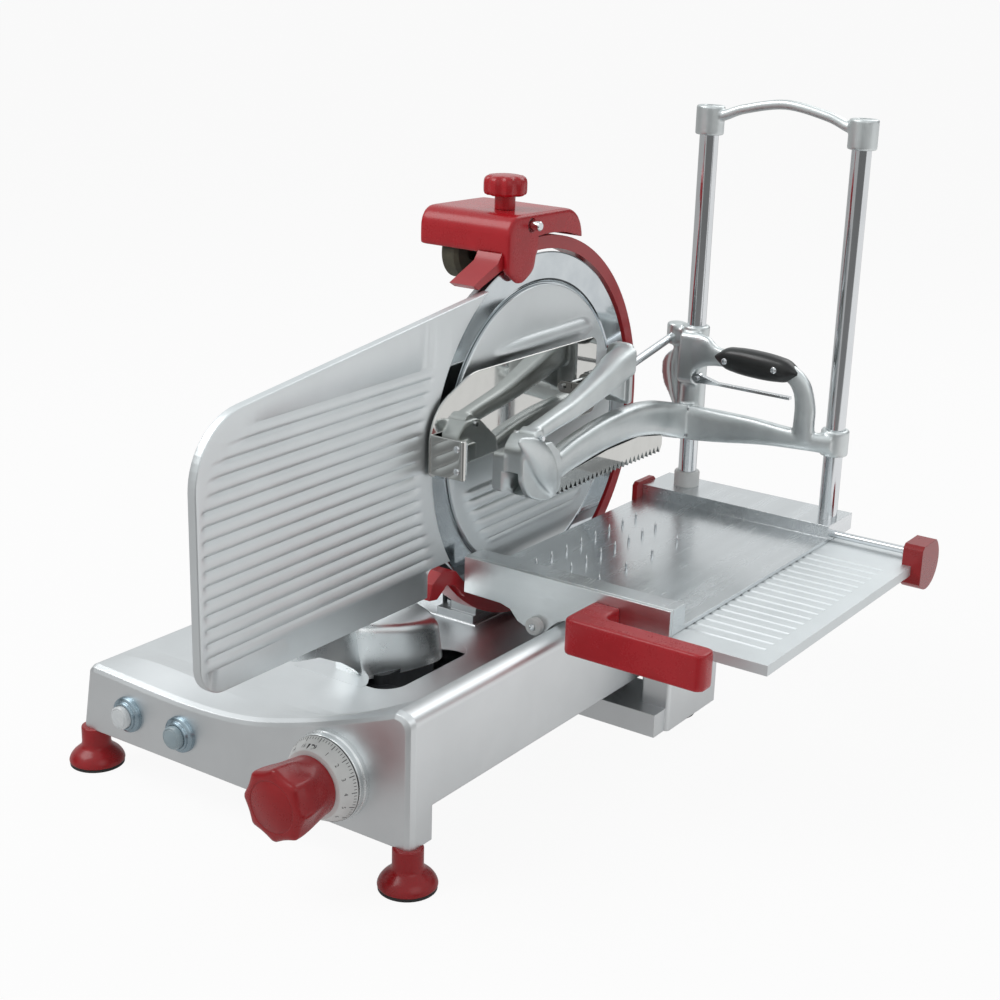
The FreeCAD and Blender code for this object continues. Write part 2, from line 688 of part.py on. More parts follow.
# ---- blade ---------------------------------------------------------------------------------------
hub_x = (blade_x - blade_t - 5.6, blade_x - blade_t)


def blade():
    """Dished round knife, bevelled on the slice side, with screw seats round its hub hole."""
    edge = blade_x
    back = blade_x - blade_t
    points = [(hub_r * 0.66, edge - dish), (cover_r + 1.5, edge - dish), (cover_r + 4.5, edge),
              (blade_r - 3.0, edge)]
    points += [(blade_r, edge - 0.3), (blade_r - 13.0, back), (hub_r * 0.66, back)]
    disc = turned(points, (0, blade_y, blade_z), (1, 0, 0))
    seats = []
    face = edge - dish
    for y, z in blade_screw_yz():
        cone = [(0, face + 1.0), (4.25, face + 1.0), (4.25, face - 0.65), (2.45, face - 1.25),
                (2.45, back - 1.0)]
        seats.append(turned(cone + [(0, back - 1.0)], (0, y, z), (1, 0, 0)))
    return minus(disc, seats)


def blade_screw_yz():
    """Places of the three screws that hold the blade to its hub."""
    ring = 25.0
    places = []
    for i in range(3):
        angle = math.radians(90.0 + 120.0 * i)
        places.append((blade_y + ring * math.cos(angle), blade_z + ring * math.sin(angle)))
    return places


def blade_screws():
    """Flat-headed screws, flush with the bottom of the blade's dish."""
    face = blade_x - dish
    screws = []
    for y, z in blade_screw_yz():
        points = [(0, face), (4.2, face), (4.2, face - 0.6), (2.4, face - 1.2), (2.4, hub_x[0] + 0.5),
                  (0, hub_x[0] + 0.5)]
        screws.append(turned(points, (0, y, z), (1, 0, 0)))
    return group(screws)


def blade_shaft():
    """Hollow shaft with the blade's hub flange."""
    end = pulley_x[0] - 4.0
    shaft = rod_x_axis(shaft_r, (end, hub_x[1]), blade_y, blade_z)
    flange = rod_x_axis(hub_r, hub_x, blade_y, blade_z)
    spigot = rod_x_axis(hub_r * 0.66 - SEAT, (hub_x[1] - 1.0, blade_x - dish - 0.2), blade_y, blade_z)
    cuts = [rod_x_axis(tie_r + 0.6, (end - 1.0, blade_x + 1.0), blade_y, blade_z)]
    cuts += [rod_x_axis(2.4 + SEAT, (hub_x[0] - 1.0, hub_x[1] + 1.0), y, z) for y, z in blade_screw_yz()]
    return minus(fused([shaft, flange, spigot]), cuts)


def blade_pulley():
    """Grooved pulley on the left end of the shaft."""
    return pulley(pulley_r, shaft_r + SEAT, blade_y, blade_z)


def pulley(radius, bore, y, z):
    """Flat-belt pulley with two low flanges."""
    x0, x1 = pulley_x
    points = [(bore, x0), (radius + 3.0, x0), (radius + 3.0, x0 + 1.5), (radius, x0 + 2.0)]
    points += [(radius, x1 - 2.0), (radius + 3.0, x1 - 1.5), (radius + 3.0, x1), (bore, x1)]
    return turned(points, (0, y, z), (1, 0, 0))


def blade_bearings():
    """Two bearing rings in the housing's tube."""
    rings = []
    for x0 in (tube_end_x + 3.0, housing_x[1] - bearing_w - 1.0):
        ring = blade_disc(bearing_r, (x0, x0 + bearing_w))
        rings.append(ring.cut(blade_disc(shaft_r + RUN, (x0 - 1.0, x0 + bearing_w + 1.0))))
    return group(rings)


def blade_housing():
    """Casting that stands on the deck and carries the bearings, the ring guard and the sharpener."""
    base_z = deck_z + 1.0
    disc = blade_disc(housing_r, housing_x)
    tube = blade_disc(tube_r, (tube_end_x, housing_x[1]))
    pillar = prism_yz([(pedestal_y[0], base_z), (pedestal_y[1], base_z), (blade_y + 46.0, blade_z),
                       (blade_y - 46.0, blade_z)], (housing_x[0] - 30.0, housing_x[0] + 1.0))
    pillar_hollow = prism_yz([(pedestal_y[0] + 9.0, base_z - 1.0), (pedestal_y[1] - 9.0, base_z - 1.0),
                              (blade_y + 36.0, blade_z - tube_r - 6.0),
                              (blade_y - 36.0, blade_z - tube_r - 6.0)],
                             (housing_x[0] - 24.0, housing_x[0]))
    sole = box((housing_x[0] - 44.0, housing_x[0] + 1.5), (pedestal_y[0] - 4.0, pedestal_y[1] + 4.0),
               (base_z, base_z + 8.0))
    lugs = []
    for angle in guard_lug_angles:
        lug = box((housing_x[0], guard_x[0]), (housing_r - 12.0, guard_outer_r - 3.0), (-9.0, 9.0))
        lugs.append(placed_on_ring(lug, angle))
    post = box(post_x, post_y, (blade_z + housing_r - 25.0, post_top_z))
    body = fused([disc, tube, pillar, sole, post] + lugs)
    cuts = [pillar_hollow]
    cuts.append(blade_disc(bearing_r + SEAT, (tube_end_x - 1.0, housing_x[1] - 1.0)))
    cuts.append(blade_disc(shaft_r + 3.0, (tube_end_x - 1.0, housing_x[1] + 1.0)))
    for y, z in guard_screw_yz():
        cuts.append(rod_x_axis(2.2 + SEAT, (housing_x[0] - 1.0, guard_x[0] + 1.0), y, z))
    for x, y in sole_screw_xy():
        cuts.append(rod_z_axis(3.0, x, y, (base_z - 1.0, base_z + 9.0)))
    cuts.append(rod_z_axis(sharp_spindle_r + RUN, sharp_knob_x, sharp_knob_y,
                           (post_top_z - 30.0, post_top_z + 1.0)))
    return minus(body, cuts)


guard_lug_angles = (-122.0, -15.0, 55.0)
post_x = (-178.0, -152.4)
post_y = (sharp_knob_y - 16.0, sharp_knob_y + 18.0)
post_top_z = sharp_z[0] + 18.0
sharp_spindle_r = 5.0


def placed_on_ring(shape, angle):
    """Turn a shape from the +Y direction to an angle about the blade's axis."""
    moved = shape.copy()
    moved.translate(V(0, blade_y, blade_z))
    moved.rotate(V(0, blade_y, blade_z), V(1, 0, 0), angle)
    return moved


def guard_screw_yz():
    """Places of the screws that hold the ring guard to the housing's lugs."""
    ring = (guard_inner_r + guard_outer_r) / 2
    return [(blade_y + ring * math.cos(math.radians(a)), blade_z + ring * math.sin(math.radians(a)))
            for a in guard_lug_angles]


def sole_screw_xy():
    """Places of the screws through the housing's sole into the base."""
    x = housing_x[0] - 37.0
    return [(x, pedestal_y[0] + 12.0), (x, pedestal_y[1] - 12.0)]


def base_fasteners():
    """Foot studs, and the screws of the bottom cover, the housing's sole and the ring guard."""
    screws = [rod_z_axis(stud_r, x, y, (pad_h + 8.0, skirt_z + 24.0)) for x, y in feet_xy]
    screws += [cap_screw(4.0, 12.0, (x, y, skirt_z + 1.0), (0, 0, -1)) for x, y in cover_screw_xy()]
    base_z = deck_z + 9.0
    screws += [cap_screw(5.0, 7.5, (x, y, base_z), (0, 0, 1)) for x, y in sole_screw_xy()]
    screws += [cap_screw(4.0, 10.0, (housing_x[0], y, z), (-1, 0, 0)) for y, z in guard_screw_yz()]
    return group(screws)


def blade_cover():
    """Light disc over the middle of the blade, with a long bulge above and ribs below."""
    x = (blade_x - dish + GAP, blade_x - dish + GAP + cover_t)
    disc = blade_disc(cover_r, x)
    disc = disc.makeChamfer(1.0, [e for e in disc.Edges if abs(e.CenterOfMass.x - x[1]) < 0.01])
    reliefs = []
    level = V(0, 1, rib_slope)
    bulge = Part.makeCylinder(11.0, 150.0, V(x[1] - 9.0, blade_y - 66.0, blade_z + 86.0), level)
    limit = blade_disc(cover_r - 6.0, (x[0], x[1] + 2.0))
    reliefs.append(bulge.common(limit))
    for i in range(cover_ribs):
        drop = 48.0 + rib_pitch * i
        half = math.sqrt((cover_r - 14.0) ** 2 - (drop + 2.0) ** 2)
        start = V(x[1] - 2.6, blade_y - half, blade_z - drop - half * rib_slope)
        reliefs.append(Part.makeCylinder(4.0, 2 * half, start, level).common(limit))
    body = fused([disc] + reliefs)
    return body.cut(blade_disc(tie_r + SEAT, (x[0] - 5.0, x[1] - 1.0)))


tower_x = (pulley_x[0] - 12.0, drive_x[1])


def tie_rod():
    """Rod through the hollow shaft that holds the disc over the blade."""
    end = blade_x - dish + GAP + cover_t - 1.0
    return rod_x_axis(tie_r, (tower_x[0] - 17.0, end), blade_y, blade_z)


def cover_knob():
    """Hand nut on the tie rod's left end, against the drive cover."""
    knob_x0 = tower_x[0] - 0.1
    points = [(0, knob_x0 - 22.0), (15.0, knob_x0 - 22.0), (17.0, knob_x0 - 19.0), (17.0, knob_x0 - 5.0)]
    points += [(9.0, knob_x0), (tie_r + RUN, knob_x0), (tie_r + RUN, knob_x0 - 17.5), (0, knob_x0 - 17.5)]
    head = turned(points, (0, blade_y, blade_z), (1, 0, 0))
    grips = []
    for i in range(6):
        a = math.radians(60.0 * i)
        grips.append(rod_x_axis(5.0, (knob_x0 - 23.0, knob_x0 - 4.0), blade_y + 20.0 * math.cos(a),
                                blade_z + 20.0 * math.sin(a)))
    return minus(head, grips)


# ---- drive ---------------------------------------------------------------------------------------
def drive_motor():
    """Motor body with end bells and a foot rail, inside the drive cover."""
    body = rod_x_axis(motor_r, motor_x, motor_y, motor_z)
    bells = rod_x_axis(motor_r - 8.0, (motor_x[0] - 3.0, motor_x[1] + 3.0), motor_y, motor_z)
    base_z = deck_z + 1.0
    foot_rail = box((motor_x[0] + 15.0, motor_x[1] - 15.0), (motor_y - 34.0, motor_y + 34.0),
                    (base_z, motor_z - 30.0))
    whole = fused([body, bells, foot_rail])
    return whole.cut(rod_x_axis(motor_shaft_r + RUN, (motor_x[1] - 40.0, motor_x[1] + 10.0), motor_y,
                                motor_z))


motor_shaft_r = 7.0


def motor_pulley():
    """Motor shaft end with its small pulley."""
    shaft = rod_x_axis(motor_shaft_r, (motor_x[1] - 38.0, pulley_x[1]), motor_y, motor_z)
    return fused([shaft, pulley(motor_pulley_r, motor_shaft_r - 1.0, motor_y, motor_z)])


def belt_outline(extra, x):
    """Flat loop round both pulleys, grown by extra, between the limits x."""
    big, small = pulley_r + extra, motor_pulley_r + extra
    dy, dz = motor_y - blade_y, motor_z - blade_z
    span = math.hypot(dy, dz)
    base = math.atan2(dz, dy)
    lean = math.acos((big - small) / span)
    discs = [rod_x_axis(big, x, blade_y, blade_z), rod_x_axis(small, x, motor_y, motor_z)]
    corners = []
    for radius, cy, cz, sign in ((big, blade_y, blade_z, 1), (small, motor_y, motor_z, 1),
                                 (small, motor_y, motor_z, -1), (big, blade_y, blade_z, -1)):
        a = base + sign * lean
        corners.append((cy + radius * math.cos(a), cz + radius * math.sin(a)))
    return fused(discs + [prism_yz(corners, x)])


def drive_belt():
    """Belt between the motor pulley and the blade pulley."""
    x = (pulley_x[0] + 2.4, pulley_x[1] - 2.4)
    return belt_outline(0.3 + belt_t, x).cut(belt_outline(0.3, (x[0] - 1.0, x[1] + 1.0)))


def drive_cover():
    """Hollow cover over the motor and the belt, open below and towards the blade housing."""
    base_z = deck_z + 1.0
    gap = 7.0
    low = (motor_y - motor_r - gap, motor_y + motor_r + gap)
    top = motor_z + motor_r + gap
    tower_r = pulley_r + belt_t + gap + drive_wall

    def hull(inset, shift):
        """Outer or inner form: low motor box and a round-topped belt tower."""
        y = (low[0] - drive_wall + inset, low[1] + drive_wall - inset)
        motor_box = box((drive_x[0] + inset, drive_x[1] + shift), y,
                        (base_z - shift, top + drive_wall - inset))
        motor_box = rounded(motor_box, 16.0 - inset, (1, 0, 0), lambda c: c.z > motor_z)
        tower = box((tower_x[0] + inset, tower_x[1] + shift),
                    (blade_y - tower_r + inset, blade_y + tower_r - inset),
                    (base_z + 20.0, blade_z))
        cap = rod_x_axis(tower_r - inset, (tower_x[0] + inset, tower_x[1] + shift), blade_y, blade_z)
        return fused([motor_box, tower, cap])

    shell = hull(0.0, 0.0).cut(hull(drive_wall, 2.0))
    vents = []
    for i in range(7):
        z = motor_z - 27.0 + 9.0 * i
        vents.append(box((drive_x[0] - 1.0, drive_x[0] + drive_wall + 1.0),
                         (motor_y - 26.0, motor_y + 26.0),
                         (z - 1.6, z + 1.6)))
    vents.append(rod_x_axis(tie_r + SEAT, (tower_x[0] - 1.0, drive_x[1]), blade_y, blade_z))
    return minus(shell, vents)


# ---- ring guard and sharpener --------------------------------------------------------------------
def ring_sector(inner, outer, start, end, x):
    """Part of a ring about the blade's axis between two angles from +Y towards +Z."""
    ring = blade_disc(outer, x).cut(blade_disc(inner, (x[0] - 1.0, x[1] + 1.0)))
    steps = 24
    reach = outer * 1.2
    corners = [(blade_y, blade_z)]
    for i in range(steps + 1):
        a = math.radians(start + (end - start) * i / steps)
        corners.append((blade_y + reach * math.cos(a), blade_z + reach * math.sin(a)))
    return ring.common(prism_yz(corners, x))


def ring_guard():
    """C-shaped guard round the blade, with a hooked lower tip and a wedge at its upper end."""
    ring = ring_sector(guard_inner_r, guard_outer_r, guard_ends[0], guard_ends[1], guard_x)
    tip_x = (guard_x[0], guard_x[1] + 6.0)
    y0, z0 = guard_tip_y, blade_z - guard_inner_r + 46.0
    tip = prism_yz([(y0, z0), (y0 + 5.0, z0 + 15.0), (y0 + 19.0, z0 + 23.0), (y0 + 43.0, z0 + 18.0),
                    (y0 + 62.0, z0 + 2.0), (y0 + 56.0, z0 - 12.0), (y0 + 40.0, z0 + 4.0),
                    (y0 + 27.0, z0 + 8.0), (y0 + 12.0, z0 - 2.0)], tip_x)
    tip = tip.cut(blade_disc(guard_inner_r, (tip_x[0] - 1.0, tip_x[1] + 1.0)))
    rise_y = blade_y - 67.0
    front_y = rise_y - 85.0
    edge_y = rise_y - 64.0
    crown_y = rise_y - 37.0
    lift = 4.0
    wedge_x = (guard_x[0] - 6.0, guard_x[1])
    wedge = prism_yz([(rise_y, gauge_top(rise_y) + lift), (edge_y, gauge_top(edge_y) + lift),
                      (front_y, gauge_top(front_y) + lift + 14.0),
                      (crown_y, gauge_top(crown_y) + lift + 27.0),
                      (rise_y, gauge_top(rise_y) + lift + 16.0)], wedge_x)
    wedge = wedge.cut(blade_disc(guard_inner_r, (wedge_x[0] - 1.0, wedge_x[1] + 1.0)))
    body = fused([ring, tip, wedge])
    depth = (guard_x[0] - 1.0, guard_x[0] + 12.0)
    holes = [rod_x_axis(2.2 + SEAT, depth, y, z) for y, z in guard_screw_yz()]
    return minus(body, holes)


def sharpener_cover():
    """Rounded hood over the blade's top, with a tongue in front and an arch over the ring guard."""
    front, back = sharp_y
    low, top = sharp_z

    def hood(inset, bottom):
        """Outer or inner form of the hood."""
        x = (sharp_x[0] + inset, sharp_x[1] - inset)
        y = (front + inset, back - inset)
        body = box(x, y, (bottom, top - inset))
        body = rounded(body, 24.0 - inset, (1, 0, 0),
                       lambda c: c.y > (front + back) / 2 and c.z > top - 10.0)
        body = rounded(body, 10.0 - inset, (1, 0, 0),
                       lambda c: c.y < (front + back) / 2 and c.z > top - 10.0)
        return rounded(body, 9.0 - inset, (0, 1, 0), lambda c: c.z > top - 10.0 and c.x < sharp_knob_x)

    shell = hood(0.0, low).cut(hood(sharp_wall, low - 1.0))
    tongue_x = (sharp_x[1] - sharp_wall, sharp_x[1])
    tongue = prism_yz([(front, low + 1.0), (front, low - 17.0), (front + 14.0, low - 26.0),
                       (front + 27.0, low - 29.0),
                       (front + 38.0, low - 24.0), (front + 46.0, low - 8.0),
                       (front + 48.0, low + 1.0)], tongue_x)
    crown = rod_z_axis(sharp_stem_r + 4.0, sharp_knob_x, sharp_knob_y, (post_top_z + 0.1, top - 1.0))
    body = fused([shell, tongue, crown])
    arch = blade_disc(guard_outer_r + 3.5, (sharp_x[0] - 1.0, sharp_x[1] + 1.0))
    behind = box((sharp_x[0], sharp_x[1] + 1.0), (front + 48.0, back + 1.0), (low - 1.0, top))
    cuts = [arch.common(behind)]
    cuts.append(box((guard_x[0] - 8.0, guard_x[1] + 2.0), (front - 1.0, front + 50.0),
                    (low - 1.0, low + 6.0)))
    cuts.append(rod_z_axis(sharp_spindle_r + RUN, sharp_knob_x, sharp_knob_y, (low, top + 1.0)))
    cuts.append(rod_x_axis(pin_r + RUN, (sharp_x[1] - 5.0, sharp_x[1] + 1.0), pin_yz[0], pin_yz[1]))
    return minus(body, cuts)


pin_r = 4.5
pin_yz = (sharp_y[0] + 37.0, sharp_z[1] - 20.0)


def sharpener_knob():
    """Lobed knob on a threaded spindle that locks the sharpener on its post."""
    top = sharp_z[1]
    stem_top = top + 12.0
    points = [(0, post_top_z - 26.0), (sharp_spindle_r, post_top_z - 26.0), (sharp_spindle_r, top + 0.3)]
    points += [(sharp_stem_r, top + 0.3), (sharp_stem_r, stem_top), (sharp_knob_r - 1.0, stem_top)]
    points += [(sharp_knob_r, stem_top + 1.0), (sharp_knob_r, stem_top + sharp_knob_h - 4.0)]
    points += [(sharp_knob_r - 3.0, stem_top + sharp_knob_h - 1.0), (0, stem_top + sharp_knob_h)]
    knob = turned(points, (sharp_knob_x, sharp_knob_y, 0), (0, 0, 1))
    scoops = []
    for i in range(8):
        a = math.radians(45.0 * i + 22.5)
        sx = sharp_knob_x + (sharp_knob_r + 3.5) * math.cos(a)
        sy = sharp_knob_y + (sharp_knob_r + 3.5) * math.sin(a)
        scoops.append(rod_z_axis(5.0, sx, sy, (stem_top - 1.0, stem_top + sharp_knob_h + 1.0)))
    return minus(knob, scoops)


def grinding_stone():
    """Cup stone with its spindle, left of the blade, under the hood."""
    x0, x1 = stone_x
    y, z = stone_yz
    spindle = 4.0
    points = [(0, x0 - 8.0), (spindle, x0 - 8.0), (spindle, x0), (stone_r, x0), (stone_r, x1 - 4.0)]
    points += [(stone_r - 3.0, x1), (9.0, x1), (9.0, x1 - 6.0), (0, x1 - 6.0)]
    return turned(points, (0, y, z), (1, 0, 0))


def stone_yoke():
    """Arm inside the hood that carries the grinding stone's spindle."""
    y, z = stone_yz
    x = (stone_x[0] - 7.0, stone_x[0] - 1.0)
    roof = sharp_z[1] - sharp_wall
    plate = prism_yz([(y - 11.0, z - 10.0), (y + 11.0, z - 10.0), (y + 22.0, roof - 24.0),
                      (y + 60.0, roof - 20.0),
                      (y + 60.0, roof), (y - 18.0, roof), (y - 18.0, roof - 24.0)], x)
    return plate.cut(rod_x_axis(4.0 + RUN, (x[0] - 1.0, x[1] + 1.0), y, z))


def deburring_stone():
    """Small stone that takes the burr off, on the product side of the blade."""
    y, z = pin_yz
    points = [(0, sharp_x[1] - 4.0), (pin_r + 4.0, sharp_x[1] - 4.0), (pin_r + 4.0, sharp_x[1] - 16.0)]
    points += [(pin_r + 1.0, sharp_x[1] - 18.0), (0, sharp_x[1] - 18.0)]
    stone = turned(points, (0, y, z), (1, 0, 0))
    pin = [(0, sharp_x[1] - 5.0), (pin_r, sharp_x[1] - 5.0), (pin_r, sharp_x[1] + 9.0),
           (pin_r - 1.0, sharp_x[1] + 10.0)]
    pin += [(0, sharp_x[1] + 10.0)]
    return fused([stone, turned(pin, (0, y, z), (1, 0, 0))])


# ---- carriage ------------------------------------------------------------------------------------
def carriage_rail():
    """Round bar in the base that the carriage slides on."""
    ends = (base_y[0] + wall - 1.0, base_y[1] - wall + 1.0)
    return rod_y_axis(rail_r, rail_x, ends, rail_z)


def carriage_arm():
    """Column outside the right wall, with a foot that hooks under the wall to the rail."""
    top = plate_z - plate_t
    column = box(arm_x, arm_y, (arm_bottom_z, top))
    column = rounded(column, 4.0, (0, 0, 1))
    foot_x = (rail_x - rail_boss_r, arm_x[1] - 4.0)
    sole = box(foot_x, (rail_boss_y[0], rail_boss_y[1]), (arm_bottom_z, rail_z - rail_boss_r + 4.0))
    boss = rod_y_axis(rail_boss_r, rail_x, rail_boss_y, rail_z)
    saddle = box((rail_x - 12.0, rail_x + 12.0), rail_boss_y, (arm_bottom_z + 4.0, rail_z))
    body = fused([column, sole, boss, saddle])
    return body.cut(rod_y_axis(rail_r + bush_t, rail_x, (rail_boss_y[0] - 1.0, rail_boss_y[1] + 1.0),
                               rail_z))


bush_t = 2.5


def rail_bushes():
    """Two sliding bushes in the arm's boss."""
    bushes = []
    length = 20.0
    for y0 in (rail_boss_y[0] + 1.0, rail_boss_y[1] - length - 1.0):
        outer = rod_y_axis(rail_r + bush_t - SEAT, rail_x, (y0, y0 + length), rail_z)
        bushes.append(outer.cut(rod_y_axis(rail_r + RUN, rail_x, (y0 - 1.0, y0 + length + 1.0), rail_z)))
    return group(bushes)


def carriage_plate():
    """Fluted plate that the table slides on, open to the right of it."""
    z = (plate_z - plate_t, plate_z)
    plate = box(plate_x, (plate_y[0] + fence_t, plate_back_y), z)
    tail = box((table_x[0], table_x[1] - 20.0), (plate_back_y - 1.0, plate_y[1] - 4.0), z)
    nose = box((table_x[1] + 0.2, plate_x[1]), (plate_y[0], plate_y[0] + fence_t + 1.0), z)
    body = fused([plate, tail, nose])
    grooves = []
    start = plate_y[0] + fence_t + 26.0
    for i in range(flutes):
        y = start + flute_pitch * i
        rod = Part.makeCylinder(flute_r, plate_x[1] - plate_x[0] - 30.0,
                                V(plate_x[0] + 12.0, y, plate_z + flute_r * 0.55),
                                V(1, 0, 0))
        grooves.append(rod)
    return minus(body, grooves)


def carriage_apron():
    """Front casting of the carriage: fence before the table, and a rounded belly below."""
    top = fence_top_z
    low = plate_z - plate_t
    x0, x1 = table_x
    belly = [(4.0, low), (0.0, low - 1.0), (-9.0, low - 5.0), (-16.0, low - 11.0), (-22.0, belly_z)]
    belly += [(-46.0, belly_z), (-54.0, belly_z + 3.0), (-63.0, low - 5.0), (-74.0, low - 2.0),
              (x0, low - 1.0)]
    fence = prism_xz([(x0, top), (x1, top), (x1, low)] + belly, (plate_y[0], plate_y[0] + fence_t))
    keel = prism_xz(belly + [(x0, low)], (plate_y[0], plate_y[0] + 70.0))
    rib = box((-38.0, -30.0), (plate_y[0], arm_y[1]), (belly_z + 4.0, low))
    web = box((-38.0, arm_x[0]), (arm_y[0] + 6.0, arm_y[0] + 14.0), (ridge_z + 3.0, low))
    return fused([fence, keel, rib, web])


def stop_buffer():
    """Round nylon buffer with its screw, on the front of the belly."""
    x, z = -32.0, belly_z + 4.5
    front = plate_y[0]
    points = [(0, front), (8.5, front), (8.5, front - 6.5), (7.5, front - 8.0), (0, front - 8.0)]
    return turned(points, (x, 0, z), (0, 1, 0))


def carriage_handle():
    """L-shaped push handle on the carriage's fence."""
    root_x = (handle_x[0], handle_x[0] + 28.0)
    root = box(root_x, (handle_y[0] + 6.0, plate_y[0]), (handle_z[0] + 8.0, handle_z[1]))
    bar = box(handle_x, handle_y, handle_z)
    bar = rounded(bar, 7.0, (0, 0, 1))
    body = fused([root, bar])
    return body


def cross_guide_rod():
    """Thin rod along X that keeps the table straight as it slides."""
    return rod_x_axis(cross_rod_r, (plate_x[0] - 3.0, plate_x[1] + 6.0), cross_rod_y, cross_rod_z)


def rod_end_caps():
    """Red end pieces of the cross rod, which clasp the ends of the fluted plate."""
    caps = []
    below, above = 27.0, 22.0
    for x in ((plate_x[0] - 6.0, plate_x[0]), (plate_x[1] - 10.0, plate_x[1] - 10.0 + cap_t)):
        disc = rod_x_axis(below, x, cross_rod_y - 4.0, plate_z)
        limit = box((x[0] - 1.0, x[1] + 1.0), (cross_rod_y - 24.0, cross_rod_y + below),
                    (plate_z - below, plate_z + above))
        caps.append(disc.common(limit))
    notch = box((plate_x[1] - 12.0, plate_x[1]), (cross_rod_y - 40.0, plate_back_y),
                (plate_z - plate_t, plate_z))
    bore = rod_x_axis(cross_rod_r + SEAT, (plate_x[0] - 3.1, plate_x[1] + 6.1), cross_rod_y, cross_rod_z)
    return group([minus(cap, [notch, bore]) for cap in caps])


# ---- table ---------------------------------------------------------------------------------------
def slide_table():
    """Polished table with a front rim and a thick back rim, bored for the cross rod and the portal rods."""
    lift = 0.3
    z0 = plate_z + lift
    y0 = plate_y[0] + fence_t + 0.3
    floor = box(table_x, (y0, plate_y[1]), (z0, z0 + table_floor_t))
    front = box(table_x, (y0, y0 + front_rim), (z0, fence_top_z))
    back = box(table_x, (back_rim_y, plate_y[1]), (z0, back_rim_z))
    body = fused([floor, front, back])
    cuts = [rod_x_axis(cross_rod_r + RUN, (table_x[0] - 1.0, table_x[1] + 1.0), cross_rod_y, cross_rod_z)]
    for x in rod_x:
        cuts.append(rod_z_axis(rod_r + SEAT, x, rod_y, (z0 - 1.0, back_rim_z + 1.0)))
    return minus(body, cuts)


def spike_places():
    """Places of the table's spikes: three rows, staggered, thinning out away from the blade."""
    places = []
    for row, (x, count, pitch, start) in enumerate(((-80.0, 9, 27.0, 272.0), (-47.0, 8, 27.0, 284.0),
                                                    (-8.0, 4, 50.0, 300.0))):
        for i in range(count):
            places.append((x, start + pitch * i))
    return places


def table_spikes():
    """Pointed pins that hold the product on the table."""
    z = plate_z + 0.3 + table_floor_t
    spikes = []
    for x, y in spike_places():
        points = [(0, z - 3.0), (spike_r, z - 3.0), (spike_r, z + spike_h * 0.55), (0.15, z + spike_h),
                  (0, z + spike_h)]
        spikes.append(turned(points, (x, y, 0), (0, 0, 1)))
    return group(spikes)


def spike_holes():
    """Seats of the spikes in the table's floor."""
    z = plate_z + 0.3 + table_floor_t
    return [rod_z_axis(spike_r + SEAT, x, y, (z - 3.0, z + 1.0)) for x, y in spike_places()]


def portal_rods():
    """Two polished round rods that guide the press."""
    return group([rod_z_axis(rod_r, x, rod_y, (plate_z + 0.3, rod_top_z)) for x in rod_x])


def portal_bridge():
    """Cast arch that ties the rods' tops together."""
    mid = (rod_x[0] + rod_x[1]) / 2
    z = cap_z[1] - 9.0
    lower = Part.Arc(V(rod_x[0], rod_y, z - 6.0), V(mid, rod_y, z + arch_rise - 1.0),
                     V(rod_x[1], rod_y, z - 6.0)).toShape()
    upper = Part.Arc(V(rod_x[0], rod_y, z - 6.0 + arch_t), V(mid, rod_y, z + arch_rise - 1.0 + arch_t),
                     V(rod_x[1], rod_y, z - 6.0 + arch_t)).toShape()
    ends = [Part.makeLine(V(x, rod_y, z - 6.0), V(x, rod_y, z - 6.0 + arch_t)) for x in rod_x]
    face = Part.Face(Part.Wire(Part.__sortEdges__([lower, upper] + ends)))
    face.translate(V(0, -arch_w / 2, 0))
    arch = face.extrude(V(0, arch_w, 0))
    caps = [rod_z_axis(cap_r, x, rod_y, cap_z) for x in rod_x]
    body = fused([arch] + caps)
    cuts = []
    for x in rod_x:
        cuts.append(rod_z_axis(rod_r + SEAT, x, rod_y, (cap_z[0] - 1.0, rod_top_z)))
        cuts.append(rod_z_axis(7.0, x, rod_y, (cap_z[1] - screw_sink, cap_z[1] + 12.0)))
    return minus(body, cuts)


def bridge_screws():
    """Socket screws down into the rods' tops."""
    seat = cap_z[1] - screw_sink
    screws = []
    for x in rod_x:
        points = [(0, seat), (6.0, seat), (6.0, seat + 2.4), (3.0, seat + 2.4), (3.0, seat + 0.8),
                  (0, seat + 0.8)]
        screws.append(turned(points, (x, rod_y, 0), (0, 0, 1)))
    return group(screws)


def rod_collar():
    """White plastic stop collar at the foot of the left rod."""
    ring = rod_z_axis(collar_r, rod_x[0], rod_y, (back_rim_z, back_rim_z + collar_h))
    return ring.cut(rod_z_axis(rod_r + SEAT, rod_x[0], rod_y,
                               (back_rim_z - 1.0, back_rim_z + collar_h + 1.0)))


# ---- press ---------------------------------------------------------------------------------------
def forward_arm_yz():
    """Side outline of the press's forward arm as (y, z) points, from the back of its upper edge."""
    back = beam_y[1]
    tz = plate_z
    upper = [(back, tz + 77.0), (back, tz + 116.0), (back - 42.0, tz + 124.0), (back - 82.0, tz + 133.0)]
    upper += [(back - 122.0, tz + 137.0), (back - 182.0, tz + 134.0), (back - 232.0, tz + 127.0),
              (jaw_y, tz + 116.0)]
    lower = [(jaw_y, tz + 90.0), (back - 232.0, tz + 94.0), (back - 172.0, tz + 100.0),
             (back - 112.0, tz + 101.0)]
    return upper + lower + [(back - 62.0, tz + 92.0)]


